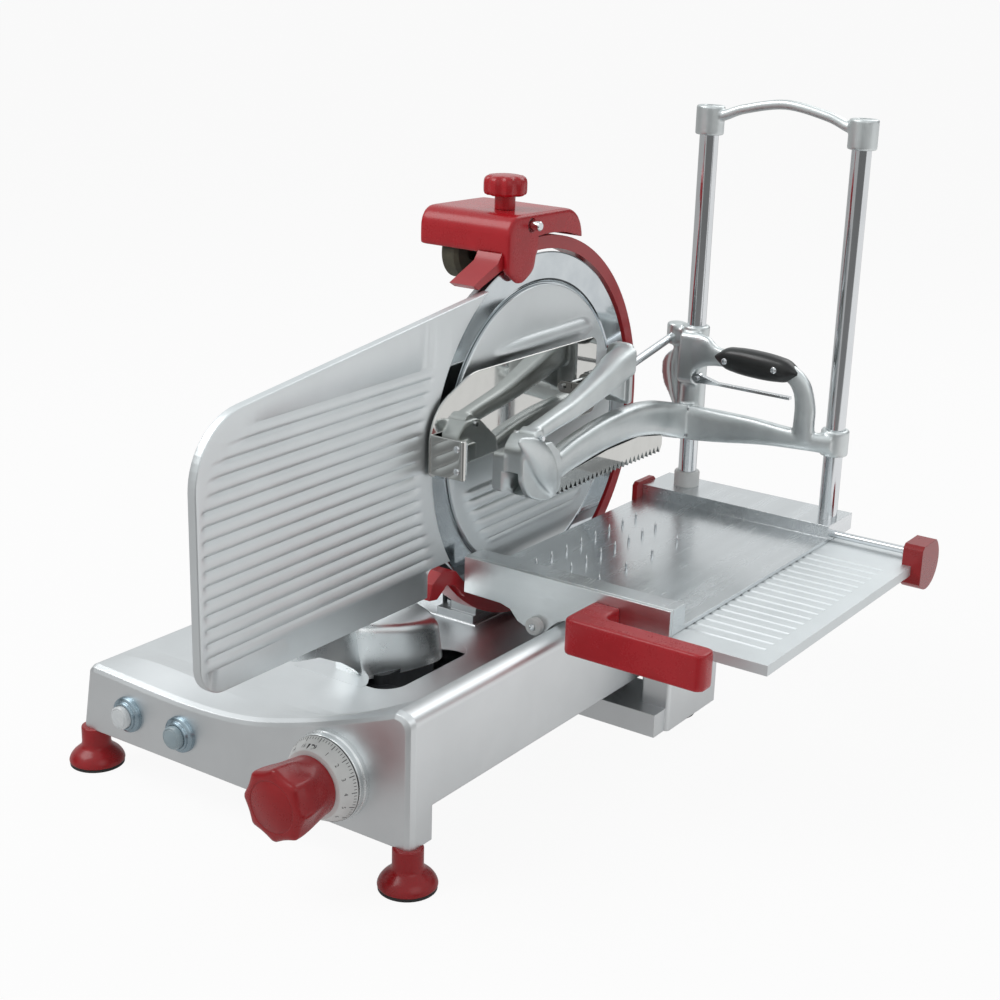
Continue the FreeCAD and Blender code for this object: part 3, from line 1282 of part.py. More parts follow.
def press_frame():
    """Casting on both rods: sleeve and boss, cross beam, loop handle, wing and forward arm."""
    left, right = rod_x
    y0, y1 = beam_y
    tz = plate_z
    sleeve = rod_z_axis(sleeve_r, left, rod_y, sleeve_z)
    boss = rod_z_axis(sleeve_r, right, rod_y, boss_z)
    beam = prism_xz([(arm_in_x[0], tz + 77.0), (left + 39.0, tz + 79.0), (left + 99.0, tz + 86.0),
                     (right, tz + 90.0),
                     (right, tz + 108.0), (left + 99.0, tz + 109.0), (left + 39.0, tz + 112.0),
                     (arm_in_x[0], tz + 116.0)], beam_y)
    links = [box((left - 10.0, left + 10.0), (y1 - 2.0, rod_y), (sleeve_z[0] + 2.0, tz + 110.0))]
    links.append(box((right - 10.0, right), (y1 - 2.0, rod_y), (tz + 91.0, tz + 108.0)))
    forward = prism_yz(forward_arm_yz(), arm_in_x)
    jaw = prism_yz([(jaw_y + 12.0, tz + 120.0), (claw_pivot[0] + 8.0, claw_pivot[1] + 8.0),
                    (jaw_y - 44.0, tz + 146.0),
                    (jaw_y - 56.0, tz + 136.0), (jaw_y - 52.0, tz + 120.0), (jaw_y - 34.0, tz + 114.0),
                    (jaw_y - 20.0, tz + 92.0), (jaw_y - 2.0, tz + 78.0), (jaw_y + 14.0, tz + 82.0)],
                   (arm_in_x[0] - 5.0, arm_in_x[1] + 5.0))
    outer = [(left + 6.0, tz + 199.0), (left + 24.0, tz + 188.0), (left + 48.0, tz + 182.0),
             (left + 97.0, tz + 186.0)]
    outer += [(left + 125.0, tz + 182.0), (right - 27.0, tz + 170.0), (right - 17.0, tz + 150.0),
              (right - 17.0, tz + 104.0)]
    inner = [(right - 41.0, tz + 104.0), (right - 41.0, tz + 150.0), (right - 47.0, tz + 156.0),
             (left + 99.0, tz + 164.0)]
    inner += [(left + 40.0, tz + 166.0), (left + 26.0, tz + 152.0), (left + 24.0, tz + 138.0),
              (left + 6.0, tz + 138.0)]
    loop = prism_xz(outer + inner, loop_y)
    tie = box((left - 8.0, left + 10.0), (loop_y[0], rod_y), (tz + 138.0, tz + 196.0))
    wing = prism_xz([(left - 6.0, tz + 178.0), (left - 30.0, tz + 172.0), (left - 38.0, tz + 150.0),
                     (left - 36.0, tz + 132.0), (left - 20.0, tz + 110.0), (left - 6.0, tz + 104.0)],
                    (rod_y - 5.0, rod_y + 5.0))
    x, y, z = pusher_rod_top
    ear = rod_z_axis(11.0, x, y - 4.0, (z - 12.0, z + 10.0))
    ear_tie = box((x, left), (y - 12.0, y), (z - 12.0, z + 8.0))
    body = fused([sleeve, boss, beam, forward, jaw, loop, tie, wing, ear, ear_tie] + links)
    cuts = [rod_z_axis(rod_r + RUN, rx, rod_y, (sleeve_z[0] - 40.0, sleeve_z[1] + 40.0)) for rx in rod_x]
    cuts.append(box((lever_pin[0] - 8.0, lever_pin[0] + 20.0), lever_slot_y,
                    (tz + 120.0, lever_pin[1] + 10.0)))
    cuts.append(rod_y_axis(pin_small_r + SEAT, lever_pin[0], (loop_y[0] - 1.0, loop_y[1] + 1.0),
                           lever_pin[1]))
    cuts.append(box((claw_x[0] - 0.4, claw_x[1] + 0.4), (claw_pivot[0] - 10.0, claw_pivot[0] + 50.0),
                    (claw_pivot[1] - 10.0, claw_pivot[1] + 30.0)))
    cuts.append(rod_x_axis(pin_small_r + SEAT, (arm_in_x[0] - 6.0, arm_in_x[1] + 6.0), *claw_pivot))
    cuts.append(pusher_bar(SEAT))
    return minus(body, cuts)


loop_y = (rod_y - 24.0, rod_y - 13.0)
lever_slot_y = (rod_y - 22.0, rod_y - 15.0)
lever_pin = (rod_x[0] + 16.0, plate_z + 146.0)
pin_small_r = 2.5


def press_pins():
    """Pivot pins of the claw arm and of the release lever."""
    claw_pin = rod_x_axis(pin_small_r, (arm_in_x[0] - 5.5, arm_in_x[1] + 5.5), *claw_pivot)
    lever = rod_y_axis(pin_small_r, lever_pin[0], (loop_y[0] - 0.5, loop_y[1] + 0.5), lever_pin[1])
    return group([claw_pin, lever])


def handle_grip():
    """Two black grip scales, before and behind the loop handle."""
    mid = (grip_x[0] + grip_x[1]) / 2
    half = (grip_x[1] - grip_x[0]) / 2
    scales = []
    for y in ((loop_y[0] - 7.0, loop_y[0]), (loop_y[1], loop_y[1] + 7.0)):
        points = []
        for i in range(24):
            a = 2 * math.pi * i / 24
            points.append((mid + half * math.cos(a), grip_z + 7.0 + grip_h * math.sin(a)))
        scales.append(prism_xz(points, y))
    holes = [rod_y_axis(1.7, x, (loop_y[0] - 10.0, loop_y[0]), grip_z + 7.0) for x in grip_screw_x()]
    scales[0] = minus(scales[0], holes)
    return group(scales)


def grip_screw_x():
    """Places of the grip's screws."""
    return (grip_x[0] + 14.0, grip_x[1] - 24.0)


def grip_screws():
    """Screws that hold the grip scales."""
    return group([cap_screw(3.0, 6.5, (x, loop_y[0] - 7.0, grip_z + 7.0),
                            (0, -1, 0)) for x in grip_screw_x()])


def release_lever():
    """Lever under the grip that frees the press when it is squeezed."""
    x, z = lever_pin
    y = (lever_slot_y[0] + 0.3, lever_slot_y[1] - 0.3)
    blade_part = prism_xz([(x, z - 5.0), (x + 24.0, z - 4.0), (grip_x[1] - 8.0, z - 5.0),
                           (grip_x[1] - 8.0, z - 2.0),
                           (x + 24.0, z - 1.0), (x + 8.0, z + 3.0), (x, z + 5.0)], y)
    eye = rod_y_axis(5.5, x, y, z)
    return fused([blade_part, eye]).cut(rod_y_axis(pin_small_r + RUN, x, (y[0] - 1.0, y[1] + 1.0), z))


def toothed_bar():
    """Strip with downward teeth under the forward arm."""
    y0, y1 = jaw_y + 14.0, beam_y[1] - 62.0
    x = (arm_in_x[0] + 5.0, arm_in_x[1] - 5.0)
    root, tip, top = plate_z + 82.0, plate_z + 74.0, plate_z + 105.0
    teeth = int((y1 - y0) / 8.0)
    pitch = (y1 - y0) / teeth
    lower = []
    for i in range(teeth):
        lower += [(y0 + pitch * i, root), (y0 + pitch * (i + 0.5), tip)]
    lower.append((y1, root))
    strip = prism_yz([(y0, top), (y1, top)] + list(reversed(lower)), x)
    return strip.cut(prism_yz(forward_arm_yz(), (x[0] - 1.0, x[1] + 1.0)))


def claw_arm():
    """Tapered cast arm that swings at the front jaw and ends in a tall pressing face."""
    y, z = claw_pivot
    root_x = (claw_x[0] + 1.0, claw_x[1] - 1.0)
    outline = [(y + 6.0, z - 6.0), (y - 4.0, z + 6.0), (y + 40.0, z + 30.0), (claw_end_y - 10.0, z + 62.0),
               (claw_end_y, z + 62.0), (claw_end_y, z), (claw_end_y - 6.0, z),
               (claw_end_y - 10.0, z + 30.0),
               (y + 60.0, z + 10.0), (y + 14.0, z - 4.0)]
    arm = prism_yz(outline, root_x)
    eye = rod_x_axis(7.0, root_x, y, z)
    face = box((claw_x[0] - 12.0, claw_x[1] + 12.0), (claw_end_y - 3.0, claw_end_y), (z, z + 62.0))
    bore = rod_x_axis(pin_small_r + RUN, (claw_x[0] - 1.0, claw_x[1] + 1.0), y, z)
    return fused([arm, eye, face]).cut(bore)


def pusher_plate():
    """Mirror-bright plate beside the blade, with a flange at its front and two hinge ears behind."""
    y, z = pusher_y, pusher_z
    plate = prism_yz([(y[0], z[0]), (y[1], z[0] + 8.0), (y[1], z[1]), (y[0], z[1])], pusher_x)
    plate = rounded(plate, 40.0, (1, 0, 0), lambda c: c.y < y[0] + 5.0 and c.z > z[1] - 10.0)
    flange = box((pusher_x[0], pusher_x[1] + 40.0), (y[0], y[0] + 2.5), (z[0] + 4.0, z[0] + 41.0))
    px, pz = pusher_pin
    ears = []
    for y0 in pusher_ear_y():
        ear = box((pusher_x[0] + 1.0, px), (y0, y0 + 4.0), (pz - 6.0, pz + 6.0))
        ears += [ear, rod_y_axis(6.0, px, (y0, y0 + 4.0), pz)]
    bore = rod_y_axis(pusher_pin_r + RUN, px, (y[0] + 20.0, y[1] + 1.0), pz)
    return fused([plate, flange] + ears).cut(bore)


def pusher_ear_y():
    """Where the hinge ears of the pusher plate begin."""
    return (pusher_y[1] - 46.0, pusher_y[1] - 6.0)


def pusher_bar(extra):
    """Sloping bar from the press frame to the pusher's hinge, grown by extra."""
    x, y, z = pusher_rod_top
    start = V(x, y + 4.0, z)
    end = V(pusher_pin[0], pusher_y[1] + 8.0, pusher_pin[1])
    run = end.sub(start)
    return Part.makeCylinder(pusher_rod_r + extra, run.Length, start, run)


def pusher_rod():
    """Sloping bar with an end block and the hinge pin that carries the pusher plate."""
    px, pz = pusher_pin
    y1 = pusher_y[1]
    block = rod_y_axis(7.0, px, (y1 + 1.0, y1 + 15.0), pz)
    pin = rod_y_axis(pusher_pin_r, px, (pusher_ear_y()[0] - 3.0, y1 + 2.0), pz)
    return fused([pusher_bar(0.0), block, pin])


# ---- assembly ------------------------------------------------------------------------------------
def all_parts():
    """Every node of the machine by name, in the foot-based frame."""
    parts = {}
    parts["base_housing"] = base_housing()
    parts["bottom_cover"] = bottom_cover()
    parts["feet"] = group([foot(x, y) for x, y in feet_xy])
    parts["foot_pads"] = group([foot_pad(x, y) for x, y in feet_xy])
    parts["button_bezels"] = group([button_bezel(x) for x in button_x])
    parts["start_button"] = push_button(button_x[0])
    parts["stop_button"] = push_button(button_x[1])
    parts["dial_bezel"] = dial_bezel()
    parts["dial_ring"] = dial_ring()
    parts["thickness_knob"] = thickness_knob()
    parts["knob_shaft"] = knob_shaft()
    parts["thickness_cam"] = thickness_cam()
    parts["gauge_plate"] = gauge_plate()
    parts["gauge_carrier"] = gauge_carrier()
    parts["gauge_screws"] = gauge_screws()
    parts["gauge_guide_rods"] = gauge_guide_rods()
    parts["blade"] = blade()
    parts["blade_screws"] = blade_screws()
    parts["blade_shaft"] = blade_shaft()
    parts["blade_pulley"] = blade_pulley()
    parts["blade_bearings"] = blade_bearings()
    parts["blade_housing"] = blade_housing()
    parts["base_fasteners"] = base_fasteners()
    parts["blade_cover"] = blade_cover()
    parts["tie_rod"] = tie_rod()
    parts["cover_knob"] = cover_knob()
    parts["drive_motor"] = drive_motor()
    parts["motor_pulley"] = motor_pulley()
    parts["drive_belt"] = drive_belt()
    parts["drive_cover"] = drive_cover()
    parts["ring_guard"] = ring_guard()
    parts["sharpener_cover"] = sharpener_cover()
    parts["sharpener_knob"] = sharpener_knob()
    parts["stone_yoke"] = stone_yoke()
    parts["grinding_stone"] = grinding_stone()
    parts["deburring_stone"] = deburring_stone()
    parts["carriage_rail"] = carriage_rail()
    parts["carriage_arm"] = carriage_arm()
    parts["rail_bushes"] = rail_bushes()
    parts["carriage_plate"] = carriage_plate()
    parts["carriage_apron"] = carriage_apron()
    parts["stop_buffer"] = stop_buffer()
    parts["carriage_handle"] = carriage_handle()
    parts["cross_guide_rod"] = cross_guide_rod()
    parts["rod_end_caps"] = rod_end_caps()
    parts["slide_table"] = minus(slide_table(), spike_holes())
    parts["table_spikes"] = table_spikes()
    parts["portal_rods"] = portal_rods()
    parts["portal_bridge"] = portal_bridge()
    parts["bridge_screws"] = bridge_screws()
    parts["rod_collar"] = rod_collar()
    parts["press_frame"] = press_frame()
    parts["handle_grip"] = handle_grip()
    parts["grip_screws"] = grip_screws()
    parts["release_lever"] = release_lever()
    parts["press_pins"] = press_pins()
    parts["toothed_bar"] = toothed_bar()
    parts["claw_arm"] = claw_arm()
    parts["pusher_plate"] = pusher_plate()
    parts["pusher_rod"] = pusher_rod()
    return parts


def main():
    """Build every node, move the origin to the footprint's centre and write the STEP files."""
    os.makedirs("parts", exist_ok=True)
    parts = all_parts()
    whole = Part.makeCompound(list(parts.values())).optimalBoundingBox(False, False)
    shift = V(-(whole.XMin + whole.XMax) / 2, -(whole.YMin + whole.YMax) / 2, 0)
    for name, shape in parts.items():
        shape.translate(shift)
        shape.exportStep("parts/" + name + ".step")
        print(name, "solids", len(shape.Solids), "valid", shape.isValid(), "cm3",
              round(shape.Volume / 1000, 1))
    print("shift", shift, "box", whole.XLength, whole.YLength, whole.ZMax)


main()
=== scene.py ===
"""Looks of the upright slicer: finishes, cast and moulded pieces, studio and camera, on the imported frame."""

import logging
import math
from dataclasses import dataclass
from enum import Enum
from typing import Callable, Optional, Sequence, Union

import bmesh
import bpy
from mathutils import Matrix, Vector


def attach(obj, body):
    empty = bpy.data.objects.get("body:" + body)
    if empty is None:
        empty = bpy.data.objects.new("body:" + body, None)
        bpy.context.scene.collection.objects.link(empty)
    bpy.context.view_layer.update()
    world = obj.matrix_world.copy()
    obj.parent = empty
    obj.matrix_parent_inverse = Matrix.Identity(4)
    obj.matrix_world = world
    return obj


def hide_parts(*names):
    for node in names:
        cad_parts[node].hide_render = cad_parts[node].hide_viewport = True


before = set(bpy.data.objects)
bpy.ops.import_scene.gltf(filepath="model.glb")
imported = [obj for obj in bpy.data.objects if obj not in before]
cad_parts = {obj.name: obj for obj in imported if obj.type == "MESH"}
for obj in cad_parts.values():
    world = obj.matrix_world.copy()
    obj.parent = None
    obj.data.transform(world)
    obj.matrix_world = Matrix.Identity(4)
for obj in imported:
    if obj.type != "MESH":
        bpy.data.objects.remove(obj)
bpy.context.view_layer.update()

log = logging.getLogger("slicer")

Rgb = tuple[float, float, float]
Point = tuple[float, float, float]
Pair = tuple[float, float]
Plane = tuple[Point, Point]
Ramp = tuple[float, float, float, float]
Field = Union[bpy.types.NodeSocket, float, int, tuple]

ORIGIN_SHIFT = Vector((93.0, -255.0, 0.0))
MM_PER_M = 1000.0
TINY = 1e-6


def at(x: float, y: float, z: float) -> Vector:
    """Turn a place in the foot-based millimetre layout into metres in the row frame."""
    return (Vector((x, y, z)) + ORIGIN_SHIFT) / MM_PER_M


def laid_out(place: Vector) -> Point:
    """Turn a place in the row frame back into the foot-based millimetre layout."""
    return tuple(c * MM_PER_M - shift for c, shift in zip(place, ORIGIN_SHIFT))


# ---- node trees ----------------------------------------------------------------------------------
class Wiring:
    """Short-hand for laying out one shader, world or geometry node tree."""

    def __init__(self, tree: bpy.types.NodeTree) -> None:
        """Keep the tree that the nodes go into."""
        self.tree = tree

    def add(self, kind: str, inputs: Optional[dict] = None, **settings: object) -> bpy.types.Node:
        """Add a node.

        Args:
            kind: The node's type name.
            inputs: Values or sockets by input name or index.
            settings: Attributes of the node.

        Returns:
            The new node.
        """
        node = self.tree.nodes.new(kind)
        for name, value in settings.items():
            setattr(node, name, value)
        for key, value in (inputs or {}).items():
            self.feed(value, node.inputs[key])
        return node

    def feed(self, value: Field, socket: bpy.types.NodeSocket) -> None:
        """Link a socket, or set a plain value, on an input.

        Args:
            value: The socket or the value.
            socket: The input.
        """
        if isinstance(value, bpy.types.NodeSocket):
            self.tree.links.new(value, socket)
        else:
            socket.default_value = value

    def math(self, operation: str, first: Field, second: Field = 0.0, third: Field = 0.0,
             clamp: bool = False) -> bpy.types.NodeSocket:
        """Add a Math node and return its result socket."""
        inputs = {0: first, 1: second, 2: third}
        return self.add("ShaderNodeMath", inputs, operation=operation, use_clamp=clamp).outputs[0]

    def vector(self, operation: str, first: Field, second: Field = (0.0, 0.0, 0.0)) -> bpy.types.Node:
        """Add a Vector Math node and return it."""
        return self.add("ShaderNodeVectorMath", {0: first, 1: second}, operation=operation)

    def span(self, value: Field, low: float, high: float, to_low: float, to_high: float,
             smooth: bool = False) -> bpy.types.NodeSocket:
        """Map a value from one span to another, held at its ends."""
        node = self.add("ShaderNodeMapRange", {0: value, 1: low, 2: high, 3: to_low, 4: to_high},
                        interpolation_type="SMOOTHSTEP" if smooth else "LINEAR", clamp=True)
        return node.outputs[0]


def new_group(name: str, inputs: Sequence[tuple[str, str, object]],
              outputs: Sequence[tuple[str, str]]) -> tuple[Wiring, bpy.types.Node, bpy.types.Node]:
    """Start a shader node group.

    Args:
        name: The group's name.
        inputs: Name, socket type and default of each input.
        outputs: Name and socket type of each output.

    Returns:
        The wiring, the group's input node and its output node.
    """
    tree = bpy.data.node_groups.new(name, "ShaderNodeTree")
    for label, kind, default in inputs:
        socket = tree.interface.new_socket(label, in_out="INPUT", socket_type=kind)
        if default is not None:
            socket.default_value = default
    for label, kind in outputs:
        tree.interface.new_socket(label, in_out="OUTPUT", socket_type=kind)
    wiring = Wiring(tree)
    return wiring, wiring.add("NodeGroupInput"), wiring.add("NodeGroupOutput")


NUMBER = "NodeSocketFloat"
VECTOR = "NodeSocketVector"


class Effects:
    """Shader groups that several finishes share."""

    def __init__(self) -> None:
        """Build each group once."""
        self.grain = self.build_grain()
        self.strokes = self.build_strokes()
        self.rings = self.build_rings()
        self.edges = self.build_edges()

    @staticmethod
    def build_grain() -> bpy.types.NodeTree:
        """Fine grain with broad clouds: the skin of a blasted casting or of moulded plastic.

        Returns:
            The shader group.
        """
        inputs = [("Vector", VECTOR, None), ("Grain Millimetres", NUMBER, 0.8),
                  ("Cloud Millimetres", NUMBER, 40.0)]
        wiring, start, end = new_group("Skin Grain", inputs, [("Grain", NUMBER), ("Cloud", NUMBER)])
        fine = wiring.math("DIVIDE", MM_PER_M, start.outputs["Grain Millimetres"])
        broad = wiring.math("DIVIDE", MM_PER_M, start.outputs["Cloud Millimetres"])
        for label, scale, detail in (("Grain", fine, 2.0), ("Cloud", broad, 3.0)):
            noise = wiring.add("ShaderNodeTexNoise", {"Vector": start.outputs["Vector"], "Scale": scale,
                                                      "Detail": detail, "Roughness": 0.55})
            value = wiring.span(noise.outputs["Fac"], 0.25, 0.75, 0.0, 1.0)
            wiring.feed(value, end.inputs[label])
        return wiring.tree

    @staticmethod
    def build_strokes() -> bpy.types.NodeTree:
        """Long fine strokes of a satin brush or a polishing belt along one direction.

        Returns:
            The shader group.
        """
        inputs = [("Vector", VECTOR, None), ("Stretch", VECTOR, (1.0, 1.0, 1.0)),
                  ("Pitch Millimetres", NUMBER, 0.6)]
        wiring, start, end = new_group("Brush Strokes", inputs, [("Strokes", NUMBER), ("Streaks", NUMBER)])
        scaled = wiring.vector("MULTIPLY", start.outputs["Vector"], start.outputs["Stretch"]).outputs[0]
        fine = wiring.math("DIVIDE", MM_PER_M, start.outputs["Pitch Millimetres"])
        broad = wiring.math("DIVIDE", fine, 14.0)
        for label, scale in (("Strokes", fine), ("Streaks", broad)):
            noise = wiring.add("ShaderNodeTexNoise", {"Vector": scaled, "Scale": scale, "Detail": 2.0})
            value = wiring.span(noise.outputs["Fac"], 0.3, 0.7, 0.0, 1.0)
            wiring.feed(value, end.inputs[label])
        return wiring.tree

    @staticmethod
    def build_rings() -> bpy.types.NodeTree:
        """Turning marks: rings about the local X axis.

        Returns:
            The shader group.
        """
        inputs = [("Vector", VECTOR, None), ("Pitch Millimetres", NUMBER, 0.7)]
        wiring, start, end = new_group("Turning Rings", inputs, [("Rings", NUMBER)])
        flat = wiring.vector("MULTIPLY", start.outputs["Vector"], (0.0, 1.0, 1.0)).outputs[0]
        radius = wiring.add("ShaderNodeVectorMath", {0: flat}, operation="LENGTH").outputs["Value"]
        scale = wiring.math("DIVIDE", MM_PER_M, start.outputs["Pitch Millimetres"])
        noise = wiring.add("ShaderNodeTexNoise", {"W": radius, "Scale": scale, "Detail": 2.0},
                           noise_dimensions="1D")
        wiring.feed(wiring.span(noise.outputs["Fac"], 0.3, 0.7, 0.0, 1.0), end.inputs["Rings"])
        return wiring.tree

    @staticmethod
    def build_edges() -> bpy.types.NodeTree:
        """Softened corners with a mask of the edges, which the finishes lighten for rubbed wear and as a
        painted edge highlight.

        Returns:
            The shader group.
        """
        inputs = [("Radius", NUMBER, 0.001)]
        wiring, start, end = new_group("Rubbed Edges", inputs, [("Mask", NUMBER), ("Normal", VECTOR)])
        soft = wiring.add("ShaderNodeBevel", {"Radius": start.outputs["Radius"]}, samples=4)
        plain = wiring.add("ShaderNodeNewGeometry").outputs["Normal"]
        match = wiring.vector("DOT_PRODUCT", soft.outputs[0], plain).outputs["Value"]
        wiring.feed(wiring.span(match, 0.97, 0.75, 0.0, 1.0), end.inputs["Mask"])
        wiring.feed(soft.outputs[0], end.inputs["Normal"])
        return wiring.tree


class Pattern(Enum):
    """How a surface is worked."""

    GRAIN = "grain"
    STROKES = "strokes"
    RINGS = "rings"


SECOND_SHADE = 0.86
STREAK_SHARE = 0.6
# Share of the edge lightening: partly rubbed wear, partly a painted edge highlight.
WEAR_AND_HIGHLIGHT_SHARE = 0.8
FINE_SHARE = 0.5
COAT_ROUGHNESS = 0.08
TURNED_SHEEN = 0.75


@dataclass(frozen=True)
class Finish:
    """One surface finish, with the values that its material is made from."""

    name: str
    colour: Rgb
    metallic: float
    roughness: float
    slot: str
    pattern: Pattern = Pattern.GRAIN
    second: Optional[Rgb] = None
    spread: float = 0.06
    grain_mm: float = 0.8
    depth_mm: float = 0.010
    cloud_mm: float = 40.0
    edge_mm: float = 0.7
    # edge_light: how far edges are lightened, partly rubbed wear and partly a painted edge highlight.
    edge_light: float = 0.10
    stretch: Point = (1.0, 1.0, 1.0)
    centre: Point = (0.0, 0.0, 0.0)
    coat: float = 0.0
    specular: float = 0.5

    def build(self, effects: Effects) -> bpy.types.Material:
        """Make the finish's material.

        Args:
            effects: The shared shader groups.

        Returns:
            The material, with object-space patterns.
        """
        material = bpy.data.materials.new(self.name)
        material.use_nodes = True
        material.node_tree.nodes.clear()
        wiring = Wiring(material.node_tree)
        place = wiring.add("ShaderNodeTexCoord").outputs["Object"]
        skin = wiring.add("ShaderNodeGroup", {"Vector": place, "Grain Millimetres": self.grain_mm,
                                              "Cloud Millimetres": self.cloud_mm}, node_tree=effects.grain)
        fine, broad = skin.outputs["Grain"], skin.outputs["Cloud"]
        if self.pattern is Pattern.STROKES:
            worked = wiring.add("ShaderNodeGroup", {"Vector": place, "Stretch": self.stretch,
                                                    "Pitch Millimetres": self.grain_mm},
                                node_tree=effects.strokes)
            fine = worked.outputs["Strokes"]
            clouds = wiring.math("MULTIPLY", broad, 1.0 - STREAK_SHARE)
            broad = wiring.math("MULTIPLY_ADD", worked.outputs["Streaks"], STREAK_SHARE, clouds)
        elif self.pattern is Pattern.RINGS:
            back = tuple(-v for v in at(*self.centre))
            moved = wiring.add("ShaderNodeMapping", {"Vector": place, "Location": back})
            worked = wiring.add("ShaderNodeGroup", {"Vector": moved.outputs[0],
                                                    "Pitch Millimetres": self.grain_mm},
                                node_tree=effects.rings)
            fine = worked.outputs["Rings"]
        edge_wear_and_highlight = wiring.add("ShaderNodeGroup", {"Radius": self.edge_mm / MM_PER_M}, node_tree=effects.edges)
        other = self.second or tuple(SECOND_SHADE * c for c in self.colour)
        tint = self.mix(wiring, broad, other, self.colour)
        # Edges lightened towards white: partly rubbed wear, partly a painted edge highlight.
        bright = tuple(min(1.0, c + (1.0 - c) * self.edge_light) for c in self.colour)
        shade = self.mix(wiring, wiring.math("MULTIPLY", edge_wear_and_highlight.outputs["Mask"], WEAR_AND_HIGHLIGHT_SHARE), tint, bright)
        rough = wiring.math("MULTIPLY_ADD", broad, self.spread, self.roughness - self.spread / 2)
        rough = wiring.math("MULTIPLY_ADD", fine, self.spread * FINE_SHARE, rough, clamp=True)
        bump = wiring.add("ShaderNodeBump", {"Strength": 1.0, "Distance": self.depth_mm / MM_PER_M,
                                             "Height": fine, "Normal": edge_wear_and_highlight.outputs["Normal"]})
        shader = wiring.add("ShaderNodeBsdfPrincipled", {
            "Base Color": shade, "Metallic": self.metallic, "Roughness": rough, "Normal": bump.outputs[0],
            "Coat Weight": self.coat, "Coat Roughness": COAT_ROUGHNESS, "Specular IOR Level": self.specular})
        if self.pattern is Pattern.RINGS:
            shader.inputs["Anisotropic"].default_value = TURNED_SHEEN
            round_about = wiring.add("ShaderNodeTangent", direction_type="RADIAL", axis="X")
            wiring.feed(round_about.outputs[0], shader.inputs["Tangent"])
        end = wiring.add("ShaderNodeOutputMaterial")
        wiring.feed(shader.outputs[0], end.inputs["Surface"])
        return material

    @staticmethod
    def mix(wiring: Wiring, factor: Field, first: Field, second: Field) -> bpy.types.NodeSocket:
        """Blend two colours.

        Args:
            wiring: The tree.
            factor: Share of the second colour.
            first: The first colour or its socket.
            second: The second colour or its socket.

        Returns:
            The result socket.
        """
        node = wiring.add("ShaderNodeMix", data_type="RGBA")
        wiring.feed(factor, node.inputs[0])
        for value, socket in ((first, node.inputs[6]), (second, node.inputs[7])):
            wiring.feed(value if isinstance(value, bpy.types.NodeSocket) else (*value, 1.0), socket)
        return node.outputs[2]


